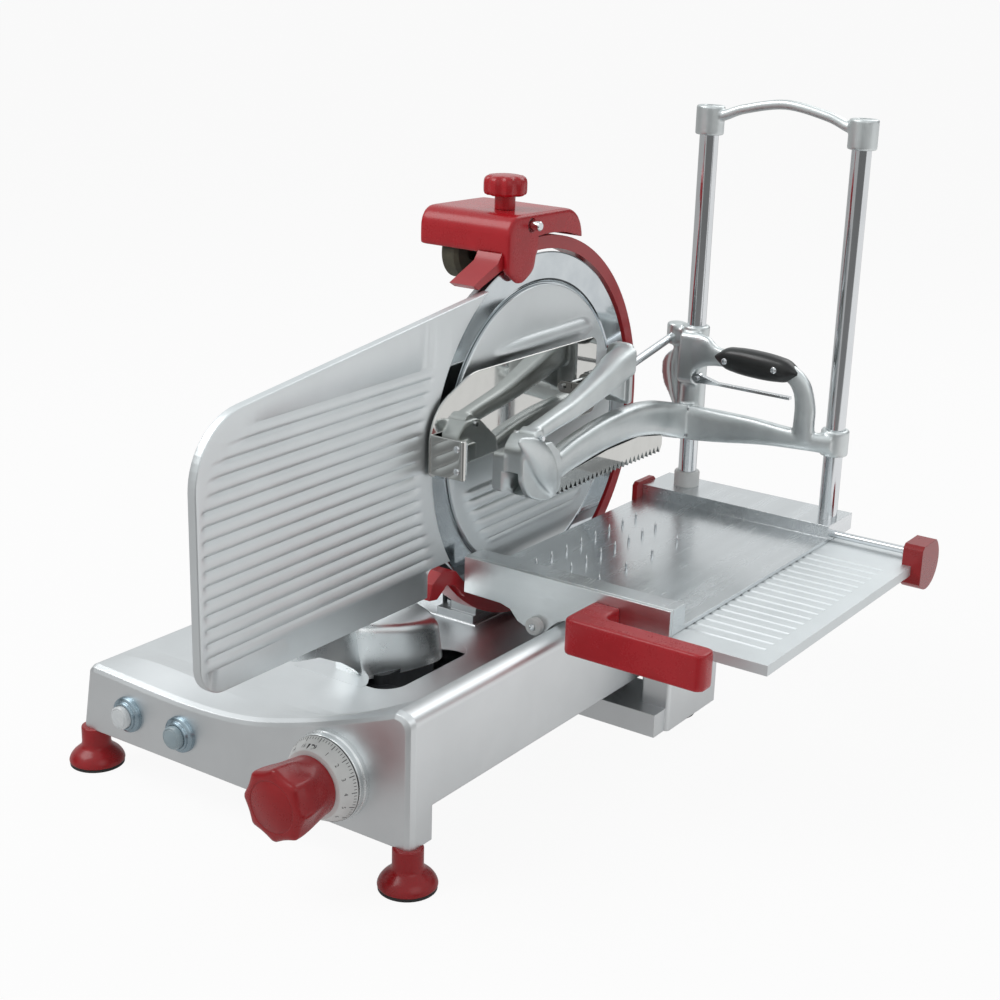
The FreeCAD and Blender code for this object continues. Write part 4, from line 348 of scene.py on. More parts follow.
class Surface(Enum):
    """Every finish on the machine."""

    BLASTED = Finish("Blasted aluminium", (0.77, 0.79, 0.80), 1.0, 0.40, "cast_aluminium",
                     second=(0.70, 0.72, 0.73), grain_mm=0.9, depth_mm=0.012, cloud_mm=70.0, edge_mm=1.2,
                     edge_light=0.25)
    FLANGE = Finish("Thin slide flange", (0.74, 0.76, 0.77), 1.0, 0.40, "cast_aluminium",
                    second=(0.68, 0.70, 0.71), grain_mm=0.9, depth_mm=0.012, cloud_mm=70.0, edge_mm=0.1,
                    edge_light=0.0)
    HOUSING = Finish("Rough blade housing", (0.44, 0.46, 0.47), 1.0, 0.46, "cast_aluminium",
                     second=(0.34, 0.36, 0.37), grain_mm=1.1, depth_mm=0.016, cloud_mm=40.0, edge_mm=1.0,
                     edge_light=0.2)
    GAUGE = Finish("Blasted gauge plate", (0.77, 0.80, 0.81), 1.0, 0.44, "cast_aluminium",
                   second=(0.71, 0.74, 0.75), grain_mm=0.8, depth_mm=0.016, cloud_mm=60.0, edge_mm=0.9,
                   edge_light=0.25)
    POLISHED = Finish("Hand polished aluminium", (0.86, 0.885, 0.89), 1.0, 0.27, "polished_aluminium",
                      second=(0.80, 0.825, 0.83), grain_mm=1.2, depth_mm=0.006, cloud_mm=40.0, spread=0.04,
                      edge_mm=1.2, edge_light=0.2)
    DISC = Finish("Satin blade disc", (0.72, 0.755, 0.765), 1.0, 0.36, "polished_aluminium",
                  second=(0.66, 0.69, 0.70), grain_mm=0.8, depth_mm=0.010, cloud_mm=60.0, edge_mm=0.6,
                  edge_light=0.2)
    ARM = Finish("Tumbled casting", (0.70, 0.735, 0.735), 1.0, 0.36, "arm_aluminium",
                 second=(0.60, 0.63, 0.635), grain_mm=1.4, depth_mm=0.012, cloud_mm=26.0, spread=0.10,
                 edge_mm=0.8, edge_light=0.3)
    BLADE = Finish("Ground blade steel", (0.62, 0.66, 0.68), 1.0, 0.07, "blade_steel", Pattern.RINGS,
                   second=(0.48, 0.52, 0.55), centre=(-134.0, 364.0, 303.0), grain_mm=0.9, depth_mm=0.0012,
                   spread=0.05, edge_mm=0.3, edge_light=0.2)
    MIRROR = Finish("Mirror stainless", (0.61, 0.61, 0.59), 1.0, 0.035, "mirror_steel", Pattern.STROKES,
                    second=(0.57, 0.57, 0.55), stretch=(0.06, 1.0, 1.0), grain_mm=1.2, depth_mm=0.0002,
                    spread=0.01, edge_mm=0.6, edge_light=0.4)
    TABLE = Finish("Polished table", (0.76, 0.785, 0.80), 1.0, 0.23, "mirror_steel", Pattern.STROKES,
                   second=(0.68, 0.70, 0.715), stretch=(1.0, 0.06, 1.0), grain_mm=1.0, depth_mm=0.0015,
                   spread=0.08, edge_mm=0.8, edge_light=0.45)
    CHROME = Finish("Ground chrome bar", (0.74, 0.76, 0.775), 1.0, 0.10, "chrome_bar",
                    second=(0.68, 0.70, 0.72), grain_mm=0.5, depth_mm=0.0005, cloud_mm=50.0, spread=0.04,
                    edge_mm=0.5, edge_light=0.3)
    SHEET = Finish("Satin sheet", (0.74, 0.77, 0.775), 1.0, 0.33, "mirror_steel", Pattern.STROKES,
                   second=(0.66, 0.69, 0.695), stretch=(0.05, 1.0, 1.0), grain_mm=0.9, depth_mm=0.003,
                   spread=0.08, edge_mm=0.8, edge_light=0.4)
    # Near-black colour that paints the shade inside the slot onto the carrier's lower half.
    CAVITY = Finish("Oiled dark casting", (0.09, 0.095, 0.10), 1.0, 0.55, "cast_aluminium",
                    second=(0.06, 0.064, 0.07), grain_mm=1.2, depth_mm=0.02, cloud_mm=20.0, edge_mm=0.6,
                    edge_light=0.05)
    STEEL = Finish("Machined steel", (0.58, 0.60, 0.61), 1.0, 0.30, "plain_steel", second=(0.48, 0.50, 0.51),
                   grain_mm=0.5, depth_mm=0.006, cloud_mm=12.0, edge_mm=0.4, edge_light=0.3)
    BLUED = Finish("Blue grey switch collar", (0.40, 0.50, 0.56), 1.0, 0.26, "plain_steel",
                   second=(0.30, 0.39, 0.45), grain_mm=0.5, depth_mm=0.004, cloud_mm=9.0, edge_mm=0.8,
                   edge_light=0.55)
    # One red plastic in two copies: this darker one is painted shade, for the feet, knobs and end caps.
    RED = Finish("Glossy red plastic", (0.38, 0.009, 0.013), 0.0, 0.27, "red_plastic",
                 second=(0.31, 0.007, 0.010), grain_mm=1.5, depth_mm=0.004, cloud_mm=30.0, edge_mm=1.0,
                 edge_light=0.04, coat=0.12, specular=0.4)
    # The brighter copy of the same red plastic is painted light, for the hood, lock knob and handle.
    SCARLET = Finish("Bright red plastic", (0.53, 0.013, 0.022), 0.0, 0.26, "red_plastic",
                     second=(0.46, 0.010, 0.017), grain_mm=1.5, depth_mm=0.003, cloud_mm=30.0, edge_mm=1.0,
                     edge_light=0.04, coat=0.12, specular=0.4)
    FLUTED = Finish("Fluted plate", (0.73, 0.76, 0.77), 1.0, 0.56, "cast_aluminium",
                    second=(0.67, 0.70, 0.71), grain_mm=0.9, depth_mm=0.012, cloud_mm=60.0, edge_mm=0.5,
                    edge_light=0.15)
    ENAMEL = Finish("Red enamel", (0.50, 0.024, 0.032), 0.0, 0.30, "red_paint", second=(0.43, 0.018, 0.024),
                    grain_mm=2.2, depth_mm=0.006, cloud_mm=35.0, edge_mm=0.8, edge_light=0.06, coat=0.15)
    BLACK = Finish("Black grip", (0.010, 0.011, 0.011), 0.0, 0.30, "black_plastic",
                   second=(0.018, 0.019, 0.019), grain_mm=0.9, depth_mm=0.010, cloud_mm=14.0, edge_mm=0.8,
                   edge_light=0.03, coat=0.15)
    WHITE = Finish("White nylon", (0.80, 0.81, 0.80), 0.0, 0.38, "white_plastic", second=(0.72, 0.73, 0.72),
                   grain_mm=1.0, depth_mm=0.006, cloud_mm=14.0, edge_mm=0.6, edge_light=0.3)
    START = Finish("White start cap", (0.76, 0.79, 0.80), 0.0, 0.25, "button_white",
                   second=(0.68, 0.72, 0.74), grain_mm=0.8, depth_mm=0.004, cloud_mm=10.0, edge_mm=0.8,
                   edge_light=0.4, coat=0.3)
    STOP = Finish("Grey stop cap", (0.34, 0.43, 0.47), 0.0, 0.28, "button_grey", second=(0.28, 0.36, 0.40),
                  grain_mm=0.8, depth_mm=0.004, cloud_mm=10.0, edge_mm=0.8, edge_light=0.4, coat=0.3)
    RUBBER = Finish("Black rubber", (0.020, 0.020, 0.021), 0.0, 0.70, "dark_rubber",
                    second=(0.03, 0.03, 0.03), grain_mm=0.7, depth_mm=0.03, cloud_mm=9.0, edge_mm=0.5,
                    edge_light=0.03)
    STONE = Finish("Sintered stone", (0.115, 0.105, 0.070), 0.0, 0.78, "stone", second=(0.07, 0.065, 0.05),
                   grain_mm=0.5, depth_mm=0.06, cloud_mm=6.0, edge_mm=0.5, edge_light=0.1)
    MOTOR = Finish("Motor paint", (0.10, 0.115, 0.13), 0.0, 0.42, "motor_paint", second=(0.08, 0.09, 0.10),
                   grain_mm=1.2, depth_mm=0.02, cloud_mm=20.0, edge_mm=1.0, edge_light=0.08)
    BRONZE = Finish("Sintered bronze", (0.52, 0.34, 0.15), 1.0, 0.40, "bronze", second=(0.42, 0.27, 0.12),
                    grain_mm=0.6, depth_mm=0.02, cloud_mm=8.0, edge_mm=0.4, edge_light=0.2)
    INK = Finish("Dial ink", (0.012, 0.012, 0.014), 0.0, 0.45, "black_plastic", second=(0.02, 0.02, 0.022),
                 grain_mm=0.5, depth_mm=0.002, cloud_mm=4.0, edge_mm=0.1, edge_light=0.02)


class Palette:
    """Materials of the finishes, made when first asked for."""

    def __init__(self) -> None:
        """Start with the shared effects and no material."""
        self.effects = Effects()
        self.made: dict[Surface, bpy.types.Material] = {}

    def get(self, surface: Surface) -> bpy.types.Material:
        """Find or make the material of a finish.

        Args:
            surface: The finish.

        Returns:
            Its material.
        """
        if surface not in self.made:
            self.made[surface] = surface.value.build(self.effects)
        return self.made[surface]

    def dress(self, surface: Surface, *nodes: str) -> None:
        """Give frame nodes a finish.

        Args:
            surface: The finish.
            nodes: Names of the nodes that keep their own mesh.
        """
        for name in nodes:
            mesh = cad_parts[name].data
            mesh.materials.clear()
            mesh.materials.append(self.get(surface))
            log.info("finish %s on %s", surface.name, name)


# ---- meshes --------------------------------------------------------------------------------------
def rounded_path(points: Sequence[Pair], radius: float, steps: int = 5, closed: bool = False) -> list[Pair]:
    """Round the corners of a flat path.

    Args:
        points: The corners.
        radius: How far from a corner the rounding starts, held to half of each side.
        steps: Points on each rounding.
        closed: True when the last corner joins the first.

    Returns:
        The rounded path's points.
    """
    path: list[Pair] = []
    count = len(points)
    for i, corner in enumerate(points):
        if not closed and i in (0, count - 1):
            path.append(tuple(corner))
            continue
        here = Vector(corner)
        before, after = Vector(points[i - 1]) - here, Vector(points[(i + 1) % count]) - here
        first = here + before.normalized() * min(radius, before.length * 0.49)
        last = here + after.normalized() * min(radius, after.length * 0.49)
        for k in range(steps + 1):
            t = k / steps
            path.append(tuple(first * (1 - t) ** 2 + here * (2 * t * (1 - t)) + last * t ** 2))
    return path


def mesh_object(name: str, mesh: bmesh.types.BMesh, sharp_deg: float = 35.0) -> bpy.types.Object:
    """Turn a finished bmesh into an object at the origin, with outward faces and soft shading.

    Args:
        name: The object's name.
        mesh: The bmesh, in metres, which is freed.
        sharp_deg: Angle over which an edge stays sharp.

    Returns:
        The linked object.
    """
    bmesh.ops.remove_doubles(mesh, verts=mesh.verts, dist=TINY)
    bmesh.ops.recalc_face_normals(mesh, faces=mesh.faces)
    for edge in mesh.edges:
        edge.smooth = edge.calc_face_angle(0.0) < math.radians(sharp_deg)
    for face in mesh.faces:
        face.smooth = True
    data = bpy.data.meshes.new(name)
    mesh.to_mesh(data)
    mesh.free()
    thing = bpy.data.objects.new(name, data)
    bpy.context.scene.collection.objects.link(thing)
    return thing


def band(mesh: bmesh.types.BMesh, one: Sequence[bmesh.types.BMVert],
         two: Sequence[bmesh.types.BMVert]) -> None:
    """Join two rings of corners with a closed row of four-sided faces.

    Args:
        mesh: The bmesh that the rings are in.
        one: The first ring.
        two: The next ring, with as many corners.
    """
    for i in range(len(one)):
        j = (i + 1) % len(one)
        mesh.faces.new((one[i], one[j], two[j], two[i]))


def lathe(profile: Sequence[Pair], origin: Point, axis: Point, segments: int = 72) -> bmesh.types.BMesh:
    """Turn a profile round an axis.

    Args:
        profile: Radius and distance along the axis of each point, in mm; radius 0 closes an end.
        origin: A point on the axis, in the millimetre layout.
        axis: The axis' direction.
        segments: Steps round the axis.

    Returns:
        A bmesh in metres.
    """
    mesh = bmesh.new()
    turn = Vector(axis).to_track_quat("Z", "Y").to_matrix()
    rings = []
    for radius, height in profile:
        if radius < TINY:
            rings.append([mesh.verts.new(at(*(Vector(origin) + turn @ Vector((0, 0, height)))))])
            continue
        ring = []
        for i in range(segments):
            angle = 2 * math.pi * i / segments
            local = Vector((radius * math.cos(angle), radius * math.sin(angle), height))
            ring.append(mesh.verts.new(at(*(Vector(origin) + turn @ local))))
        rings.append(ring)
    for one, two in zip(rings, rings[1:]):
        if len(one) > 1 and len(two) > 1:
            band(mesh, one, two)
            continue
        for i in range(segments):
            j = (i + 1) % segments
            if len(two) > 1:
                mesh.faces.new((one[0], two[j], two[i]))
            elif len(one) > 1:
                mesh.faces.new((one[i], one[j], two[0]))
    return mesh


@dataclass(frozen=True)
class Station:
    """One cross-section of a cast bar, in mm: centre, half width and half height as vectors."""

    centre: Point
    side: Point
    rise: Point
    power: float = 2.6


def sweep(stations: Sequence[Station], steps: int = 6, around: int = 28) -> bmesh.types.BMesh:
    """Loft a bar through cross-sections along a smooth curve.

    Args:
        stations: The cross-sections in order.
        steps: Sections between two stations.
        around: Points on each section.

    Returns:
        A closed bmesh in metres.
    """
    def spline(values: list[Vector], index: int, t: float) -> Vector:
        """Find a point of the Catmull-Rom curve.

        Args:
            values: The points that the curve passes through.
            index: The point that the piece of curve starts at.
            t: Share of that piece.

        Returns:
            The point.
        """
        a, b = values[max(0, index - 1)], values[index]
        c, d = values[index + 1], values[min(len(values) - 1, index + 2)]
        return 0.5 * ((2 * b) + (c - a) * t + (2 * a - 5 * b + 4 * c - d) * t ** 2
                      + (3 * b - a - 3 * c + d) * t ** 3)

    centres = [Vector(s.centre) for s in stations]
    sides = [Vector(s.side) for s in stations]
    rises = [Vector(s.rise) for s in stations]
    mesh = bmesh.new()
    rings = []
    for i in range(len(stations) - 1):
        for k in range(steps + (1 if i == len(stations) - 2 else 0)):
            t = k / steps
            centre, side, rise = spline(centres, i, t), spline(sides, i, t), spline(rises, i, t)
            power = stations[i].power * (1 - t) + stations[i + 1].power * t
            ring = []
            for n in range(around):
                angle = 2 * math.pi * n / around
                c, s = math.cos(angle), math.sin(angle)
                u = math.copysign(abs(c) ** (2 / power), c)
                v = math.copysign(abs(s) ** (2 / power), s)
                ring.append(mesh.verts.new(at(*(centre + side * u + rise * v))))
            rings.append(ring)
    for one, two in zip(rings, rings[1:]):
        band(mesh, one, two)
    mesh.faces.new(list(reversed(rings[0])))
    mesh.faces.new(rings[-1])
    return mesh


class Side(Enum):
    """The axis that a flat outline is swept along."""

    X = 0
    Y = 1
    Z = 2


def slab(outline: Sequence[Pair], side: Side, low: float, high: float) -> bmesh.types.BMesh:
    """Sweep a flat outline along an axis.

    Args:
        outline: The two other coordinates of each corner, in axis order.
        side: The axis of the sweep.
        low: Start of the sweep.
        high: End of the sweep.

    Returns:
        A closed bmesh in metres.
    """
    def place(pair: Pair, depth: float) -> Vector:
        """Put a flat point at a depth of the sweep."""
        return at(*pair[:side.value], depth, *pair[side.value:])

    mesh = bmesh.new()
    front = [mesh.verts.new(place(p, low)) for p in outline]
    back = [mesh.verts.new(place(p, high)) for p in outline]
    mesh.faces.new(front)
    mesh.faces.new(list(reversed(back)))
    count = len(outline)
    for i in range(count):
        j = (i + 1) % count
        mesh.faces.new((front[i], back[i], back[j], front[j]))
    bmesh.ops.recalc_face_normals(mesh, faces=mesh.faces)
    return mesh


def joined(meshes: Sequence[bmesh.types.BMesh]) -> bmesh.types.BMesh:
    """Gather several bmeshes into the first one.

    Args:
        meshes: The bmeshes; all but the first are freed.

    Returns:
        The first bmesh, which now holds them all.
    """
    whole = meshes[0]
    for other in meshes[1:]:
        data = bpy.data.meshes.new("part")
        other.to_mesh(data)
        whole.from_mesh(data)
        other.free()
        bpy.data.meshes.remove(data)
    return whole


def settled(thing: bpy.types.Object) -> bpy.types.Object:
    """Apply an object's modifiers and leave a plain mesh.

    Args:
        thing: The object.

    Returns:
        The same object.
    """
    graph = bpy.context.evaluated_depsgraph_get()
    data = bpy.data.meshes.new_from_object(thing.evaluated_get(graph))
    data.name = thing.name
    thing.modifiers.clear()
    thing.data = data
    return thing


def bevelled(thing: bpy.types.Object, width_mm: float, segments: int = 3,
             angle_deg: float = 30.0) -> bpy.types.Object:
    """Round an object's sharp edges.

    Args:
        thing: The object.
        width_mm: Width of the rounding.
        segments: Faces across the rounding.
        angle_deg: Angle over which an edge is rounded.

    Returns:
        The same object.
    """
    bevel = thing.modifiers.new("Rounding", "BEVEL")
    bevel.width = width_mm / MM_PER_M
    bevel.segments = segments
    bevel.limit_method = "ANGLE"
    bevel.angle_limit = math.radians(angle_deg)
    bevel.harden_normals = False
    return settled(thing)


def casting(name: str, meshes: Sequence[bmesh.types.BMesh], voxel_mm: float, rounds: int,
            bores: Sequence[bmesh.types.BMesh] = ()) -> bpy.types.Object:
    """Melt overlapping solids into one casting with soft inner corners.

    Args:
        name: The object's name.
        meshes: Closed overlapping solids.
        voxel_mm: Size of the remesh.
        rounds: Smoothing rounds.
        bores: Closed solids that are cut out afterwards.

    Returns:
        The casting.
    """
    thing = mesh_object(name, joined(list(meshes)), 180.0)
    melt = thing.modifiers.new("Melt", "REMESH")
    melt.mode = "VOXEL"
    melt.voxel_size = voxel_mm / MM_PER_M
    melt.use_smooth_shade = True
    soft = thing.modifiers.new("Soft", "SMOOTH")
    soft.factor = 0.5
    soft.iterations = rounds
    settled(thing)
    for bore in bores:
        cutter = mesh_object(name + "_bore", bore)
        cut = thing.modifiers.new("Bore", "BOOLEAN")
        cut.operation = "DIFFERENCE"
        cut.solver = "EXACT"
        cut.object = cutter
        settled(thing)
        bpy.data.objects.remove(cutter)
    for face in thing.data.polygons:
        face.use_smooth = True
    return thing


def trimmed(mesh: bmesh.types.BMesh, place: Vector, normal: Point) -> bmesh.types.BMesh:
    """Cut away what lies on the normal's side of a plane and close the cut.

    Args:
        mesh: A closed bmesh.
        place: A point of the plane, in metres.
        normal: The plane's normal.

    Returns:
        The same bmesh.
    """
    parts = mesh.verts[:] + mesh.edges[:] + mesh.faces[:]
    cut = bmesh.ops.bisect_plane(mesh, geom=parts, plane_co=place, plane_no=normal, clear_outer=True)
    bmesh.ops.holes_fill(mesh, edges=[e for e in cut["geom_cut"] if isinstance(e, bmesh.types.BMEdge)])
    return mesh


def cad_copy(node: str) -> bmesh.types.BMesh:
    """Copy a frame node's mesh, with its doubled corners merged.

    Args:
        node: The node's name.

    Returns:
        The copy, in metres.
    """
    mesh = bmesh.new()
    mesh.from_mesh(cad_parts[node].data)
    bmesh.ops.remove_doubles(mesh, verts=mesh.verts, dist=TINY)
    return mesh


def relief(mesh: bmesh.types.BMesh, cuts: Sequence[Plane], face_x: float,
           height: Callable[[float, float], float]) -> bmesh.types.BMesh:
    """Give the face of a plate at face_x a raised pattern.

    Args:
        mesh: A slab swept along X.
        cuts: Point and normal, in mm, of each plane that divides the slab.
        face_x: X of the face, in mm.
        height: Rise of the face over y and z, in mm.

    Returns:
        The same bmesh.
    """
    for point, normal in cuts:
        parts = mesh.verts[:] + mesh.edges[:] + mesh.faces[:]
        bmesh.ops.bisect_plane(mesh, geom=parts, plane_co=at(*point), plane_no=Vector(normal), dist=1e-7)
    level = at(face_x, 0, 0).x
    for vert in mesh.verts:
        if abs(vert.co.x - level) < TINY:
            _, y, z = laid_out(vert.co)
            vert.co.x += height(y, z) / MM_PER_M
    return mesh


def fillet_path(corners: Sequence[tuple[float, float, float]], steps: int = 10) -> list[Pair]:
    """Round a closed flat outline with true arcs.

    Args:
        corners: Two coordinates and the fillet radius of each corner.
        steps: Points on each arc.

    Returns:
        The outline's points.
    """
    path: list[Pair] = []
    count = len(corners)
    for i, (a, b, radius) in enumerate(corners):
        here = Vector((a, b))
        before = (Vector(corners[i - 1][:2]) - here).normalized()
        after = (Vector(corners[(i + 1) % count][:2]) - here).normalized()
        if radius <= 0.0:
            path.append((a, b))
            continue
        half = before.angle(after) / 2
        centre = here + (before + after).normalized() * (radius / math.sin(half))
        first = here + before * (radius / math.tan(half)) - centre
        last = here + after * (radius / math.tan(half)) - centre
        swing = first.angle_signed(last)
        for k in range(steps + 1):
            turned = first.copy()
            turned.rotate(Matrix.Rotation(-swing * k / steps, 2))
            path.append(tuple(centre + turned))
    return path


def smooth_step(value: float, low: float, high: float) -> float:
    """Ease from 0 at low to 1 at high."""
    t = min(1.0, max(0.0, (value - low) / (high - low)))
    return t * t * (3 - 2 * t)


@dataclass
class Piece:
    """Base of the sub-assemblies: gives a finished object its finish, body and frame node."""

    palette: Palette

    def settle(self, thing: bpy.types.Object, surface: Surface, body: str, *nodes: str) -> bpy.types.Object:
        """Hand a finished object over to the frame.

        Args:
            thing: The object, at the origin.
            surface: Its finish.
            body: The body it rides on.
            nodes: The frame nodes it stands for.

        Returns:
            The same object.
        """
        thing.data.materials.clear()
        thing.data.materials.append(self.palette.get(surface))
        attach(thing, body)
        if nodes:
            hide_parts(*nodes)
        log.info("piece %s rides %s, %d faces", thing.name, body, len(thing.data.polygons))
        return thing


# ---- sub-assemblies ------------------------------------------------------------------------------
AXIS_Y, AXIS_Z = 364.0, 303.0


@dataclass(frozen=True)
class Ribs:
    """Level corrugations that the gauge plate and the disc over the blade share."""

    lowest: float = 210.8
    pitch: float = 12.25
    slope: float = 0.02
    count: int = 16
    depth: float = 2.0
    lean: float = 0.72
    belly: float = 0.62

    def place(self, y: float, z: float) -> float:
        """Number of pitches above the lowest groove."""
        return (z - self.slope * y - self.lowest) / self.pitch

    def shape(self, share: float) -> float:
        """Height of one rib from groove to groove: a quick rise, a full belly and a slow fall."""
        return math.sin(math.pi * share ** self.lean) ** self.belly

    def cuts(self, first: int, last: int, steps: int) -> list[Plane]:
        """Lay planes that divide a plate for these ribs.

        Args:
            first: Rib that the planes start at.
            last: Rib that they end at.
            steps: Planes for each rib.

        Returns:
            Point and normal of each plane, in mm.
        """
        planes = []
        for i in range((last - first) * steps + 1):
            z = self.lowest + self.pitch * (first + i / steps)
            planes.append(((0.0, 0.0, z), (0.0, -self.slope, 1.0)))
        return planes


def upright_cuts(low: float, high: float, step: float) -> list[Plane]:
    """Lay planes across Y at even steps."""
    count = int((high - low) / step)
    return [((0.0, low + step * i, 0.0), (0.0, 1.0, 0.0)) for i in range(count + 1)]


def rounded_rim(mesh: bmesh.types.BMesh, face_x: float, width_mm: float) -> None:
    """Round the rim of a slab's face, before the face is divided.

    Args:
        mesh: A slab swept along X.
        face_x: X of the face, in mm.
        width_mm: Width of the rounding.
    """
    level = at(face_x, 0, 0).x
    rim = [e for e in mesh.edges if all(abs(v.co.x - level) < TINY for v in e.verts)]
    bmesh.ops.bevel(mesh, geom=rim, offset=width_mm / MM_PER_M, segments=4, profile=0.5, affect="EDGES",
                    clamp_overlap=True)


@dataclass
class Base(Piece):
    """Cast base on bell-shaped feet."""

    foot_span: Pair = (378.0, 445.0)
    foot_r: float = 25.95
    stem_r: float = 13.5
    foot_top: float = 38.6

    def build(self) -> None:
        """Dress the casting and turn the feet."""
        self.palette.dress(Surface.BLASTED, "base_housing")
        self.palette.dress(Surface.STEEL, "bottom_cover", "base_fasteners", "thickness_cam", "knob_shaft")
        self.palette.dress(Surface.RUBBER, "foot_pads")
        places = [(x, y) for x in (0.0, -self.foot_span[0]) for y in (0.0, self.foot_span[1])]
        feet = joined([self.foot(x, y) for x, y in places])
        self.settle(mesh_object("feet_moulded", feet, 60.0), Surface.RED, "machine", "feet")

    def foot(self, x: float, y: float) -> bmesh.types.BMesh:
        """Turn a bell-shaped foot with a soft flare and a thin rim.

        Args:
            x: Place of its axis along the front.
            y: Place of its axis along the side.

        Returns:
            The foot.
        """
        r, s = self.foot_r, self.stem_r
        flare = [(0.0, 2.6), (r - 0.8, 2.6), (r, 3.4), (r, 5.0), (r * 0.95, 8.4), (r * 0.84, 12.2),
                 (s + 4.2, 15.6), (s + 1.0, 18.4), (s, 22.0), (s, self.foot_top), (0.0, self.foot_top)]
        return lathe(rounded_path(flare, 1.8, 4), (x, y, 0.0), (0, 0, 1), 72)


@dataclass
class Controls(Piece):
    """Push buttons, numbered dial and thickness knob."""

    wall_y: float = -8.7
    button_x: Pair = (-322.0, -254.5)
    button_z: float = 69.0
    button_r: float = 11.0
    collar_r: float = 17.2
    dial_x: float = -74.6
    dial_z: float = 86.0
    dial_y: Pair = (-20.2, -35.7)
    dial_r: Pair = (38.4, 30.5)
    knob_len: float = 49.0
    knob_r: Pair = (27.0, 33.0)
    lobes: int = 8
    scoop_depth: float = 0.085
    scoop_half: float = 0.44
    ticks: int = 80
    ticks_a_number: int = 5
    tick_start: float = 0.04
    tick_reach: Pair = (0.34, 0.2)
    tick_half_deg: Pair = (0.5, 0.36)
    digit_mm: float = 5.0
    digit_r: float = 33.5
    digit_share: float = 0.66

    def build(self) -> None:
        """Turn the collars, caps and bezel, mark the dial and shape the knob."""
        self.buttons()
        self.dial()
        self.knob()

    def buttons(self) -> None:
        """Two stepped collars with their domed caps."""
        r = self.collar_r
        step = [(self.button_r + 0.4, -8.0), (r - 4.6, -8.0), (r - 3.8, -7.4), (r - 3.4, -5.0),
                (r - 1.4, -4.4), (r - 0.5, -3.6), (r, -1.4), (r, 0.0), (self.button_r + 1.8, 0.0),
                (self.button_r + 1.8, 3.5), (r - 2.0, 3.5), (r - 2.0, 28.0), (self.button_r + 0.4, 28.0),
                (self.button_r + 0.4, -8.0)]
        collars = joined([lathe(step, (x, self.wall_y, self.button_z), (0, 1, 0), 64) for x in self.button_x])
        self.settle(mesh_object("collars_turned", collars, 28.0), Surface.BLUED, "machine", "button_bezels")
        b = self.button_r
        cap = [(0.0, -14.0), (b * 0.45, -13.9), (b * 0.74, -13.4), (b * 0.78, -12.9), (b * 0.84, -13.2),
               (b - 0.9, -12.9), (b, -11.6), (b, 18.0), (0.0, 18.0)]
        for name, x, surface, body in (("start_button", self.button_x[0], Surface.START, "start_cap"),
                                       ("stop_button", self.button_x[1], Surface.STOP, "stop_cap")):
            mesh = lathe(cap, (x, self.wall_y, self.button_z), (0, 1, 0), 64)
            self.settle(mesh_object(name + "_moulded", mesh, 32.0), surface, body, name)

    def dial(self) -> None:
        """Two-step bezel, white cone with ticks and numbers, and the arrow on the bezel."""
        centre = (self.dial_x, self.wall_y, self.dial_z)
        bezel = [(8.0, 0.0), (39.9, 0.0), (40.0, -0.6), (40.0, -4.6), (39.4, -5.2), (38.9, -5.3),
                 (38.9, -10.2), (38.2, -11.0), (8.0, -11.0), (8.0, 0.0)]
        self.settle(mesh_object("bezel_turned", lathe(bezel, centre, (0, 1, 0), 128), 28.0), Surface.POLISHED,
                    "machine", "dial_bezel")
        back, front = self.dial_y
        r0, r1 = self.dial_r
        cone = [(5.1, back), (r0 - 0.6, back), (r0, back - 0.5), (r0, back - 1.6), (r1 + 0.3, front + 0.4),
                (r1 - 0.4, front), (5.1, front), (5.1, back)]
        mesh = lathe(cone, (self.dial_x, 0.0, self.dial_z), (0, 1, 0), 128)
        self.settle(mesh_object("dial_moulded", mesh, 30.0), Surface.WHITE, "knob", "dial_ring")
        self.settle(mesh_object("dial_marks", self.marks()), Surface.INK, "knob")
        self.settle(self.numbers(), Surface.INK, "knob")
        seam = [(r0 + 0.15, back + 0.15), (r0 + 0.15, back - 0.9), (r0 - 0.4, back - 0.9),
                (r0 - 0.4, back + 0.15), (r0 + 0.15, back + 0.15)]
        mesh = lathe(seam, (self.dial_x, 0.0, self.dial_z), (0, 1, 0), 128)
        self.settle(mesh_object("dial_seam", mesh), Surface.INK, "knob")

    def on_cone(self, share: float, turn_deg: float, lift: float = 0.12) -> Vector:
        """Find a point on the dial's cone.

        Args:
            share: Way from the wide edge, 0, to the narrow one, 1.
            turn_deg: Turn clockwise from the top.
            lift: Height over the cone, in mm.

        Returns:
            The point, in metres.
        """
        back, front = self.dial_y[0] - 1.6, self.dial_y[1]
        radius = self.dial_r[0] + (self.dial_r[1] - self.dial_r[0]) * share + lift
        a = math.radians(90.0 - turn_deg)
        return at(self.dial_x + radius * math.cos(a), back + (front - back) * share - lift * 0.5,
                  self.dial_z + radius * math.sin(a))

    def marks(self) -> bmesh.types.BMesh:
        """Ticks round the wide edge, longer at each number, and an arrow at zero.

        Returns:
            A bmesh of flat marks in metres.
        """
        mesh = bmesh.new()
        for i in range(self.ticks):
            turn = i * 360.0 / self.ticks
            kind = 0 if i % self.ticks_a_number == 0 else 1
            start, reach, half = self.tick_start, self.tick_reach[kind], self.tick_half_deg[kind]
            corners = [self.on_cone(start, turn - half), self.on_cone(start, turn + half),
                       self.on_cone(reach, turn + half), self.on_cone(reach, turn - half)]
            mesh.faces.new([mesh.verts.new(c) for c in corners])
        pointer = [(0.52, -12.0), (0.84, -12.0), (0.84, -2.0), (0.68, 4.0), (0.52, -2.0)]
        mesh.faces.new([mesh.verts.new(self.on_cone(share, turn - 2.0)) for share, turn in pointer])
        return mesh

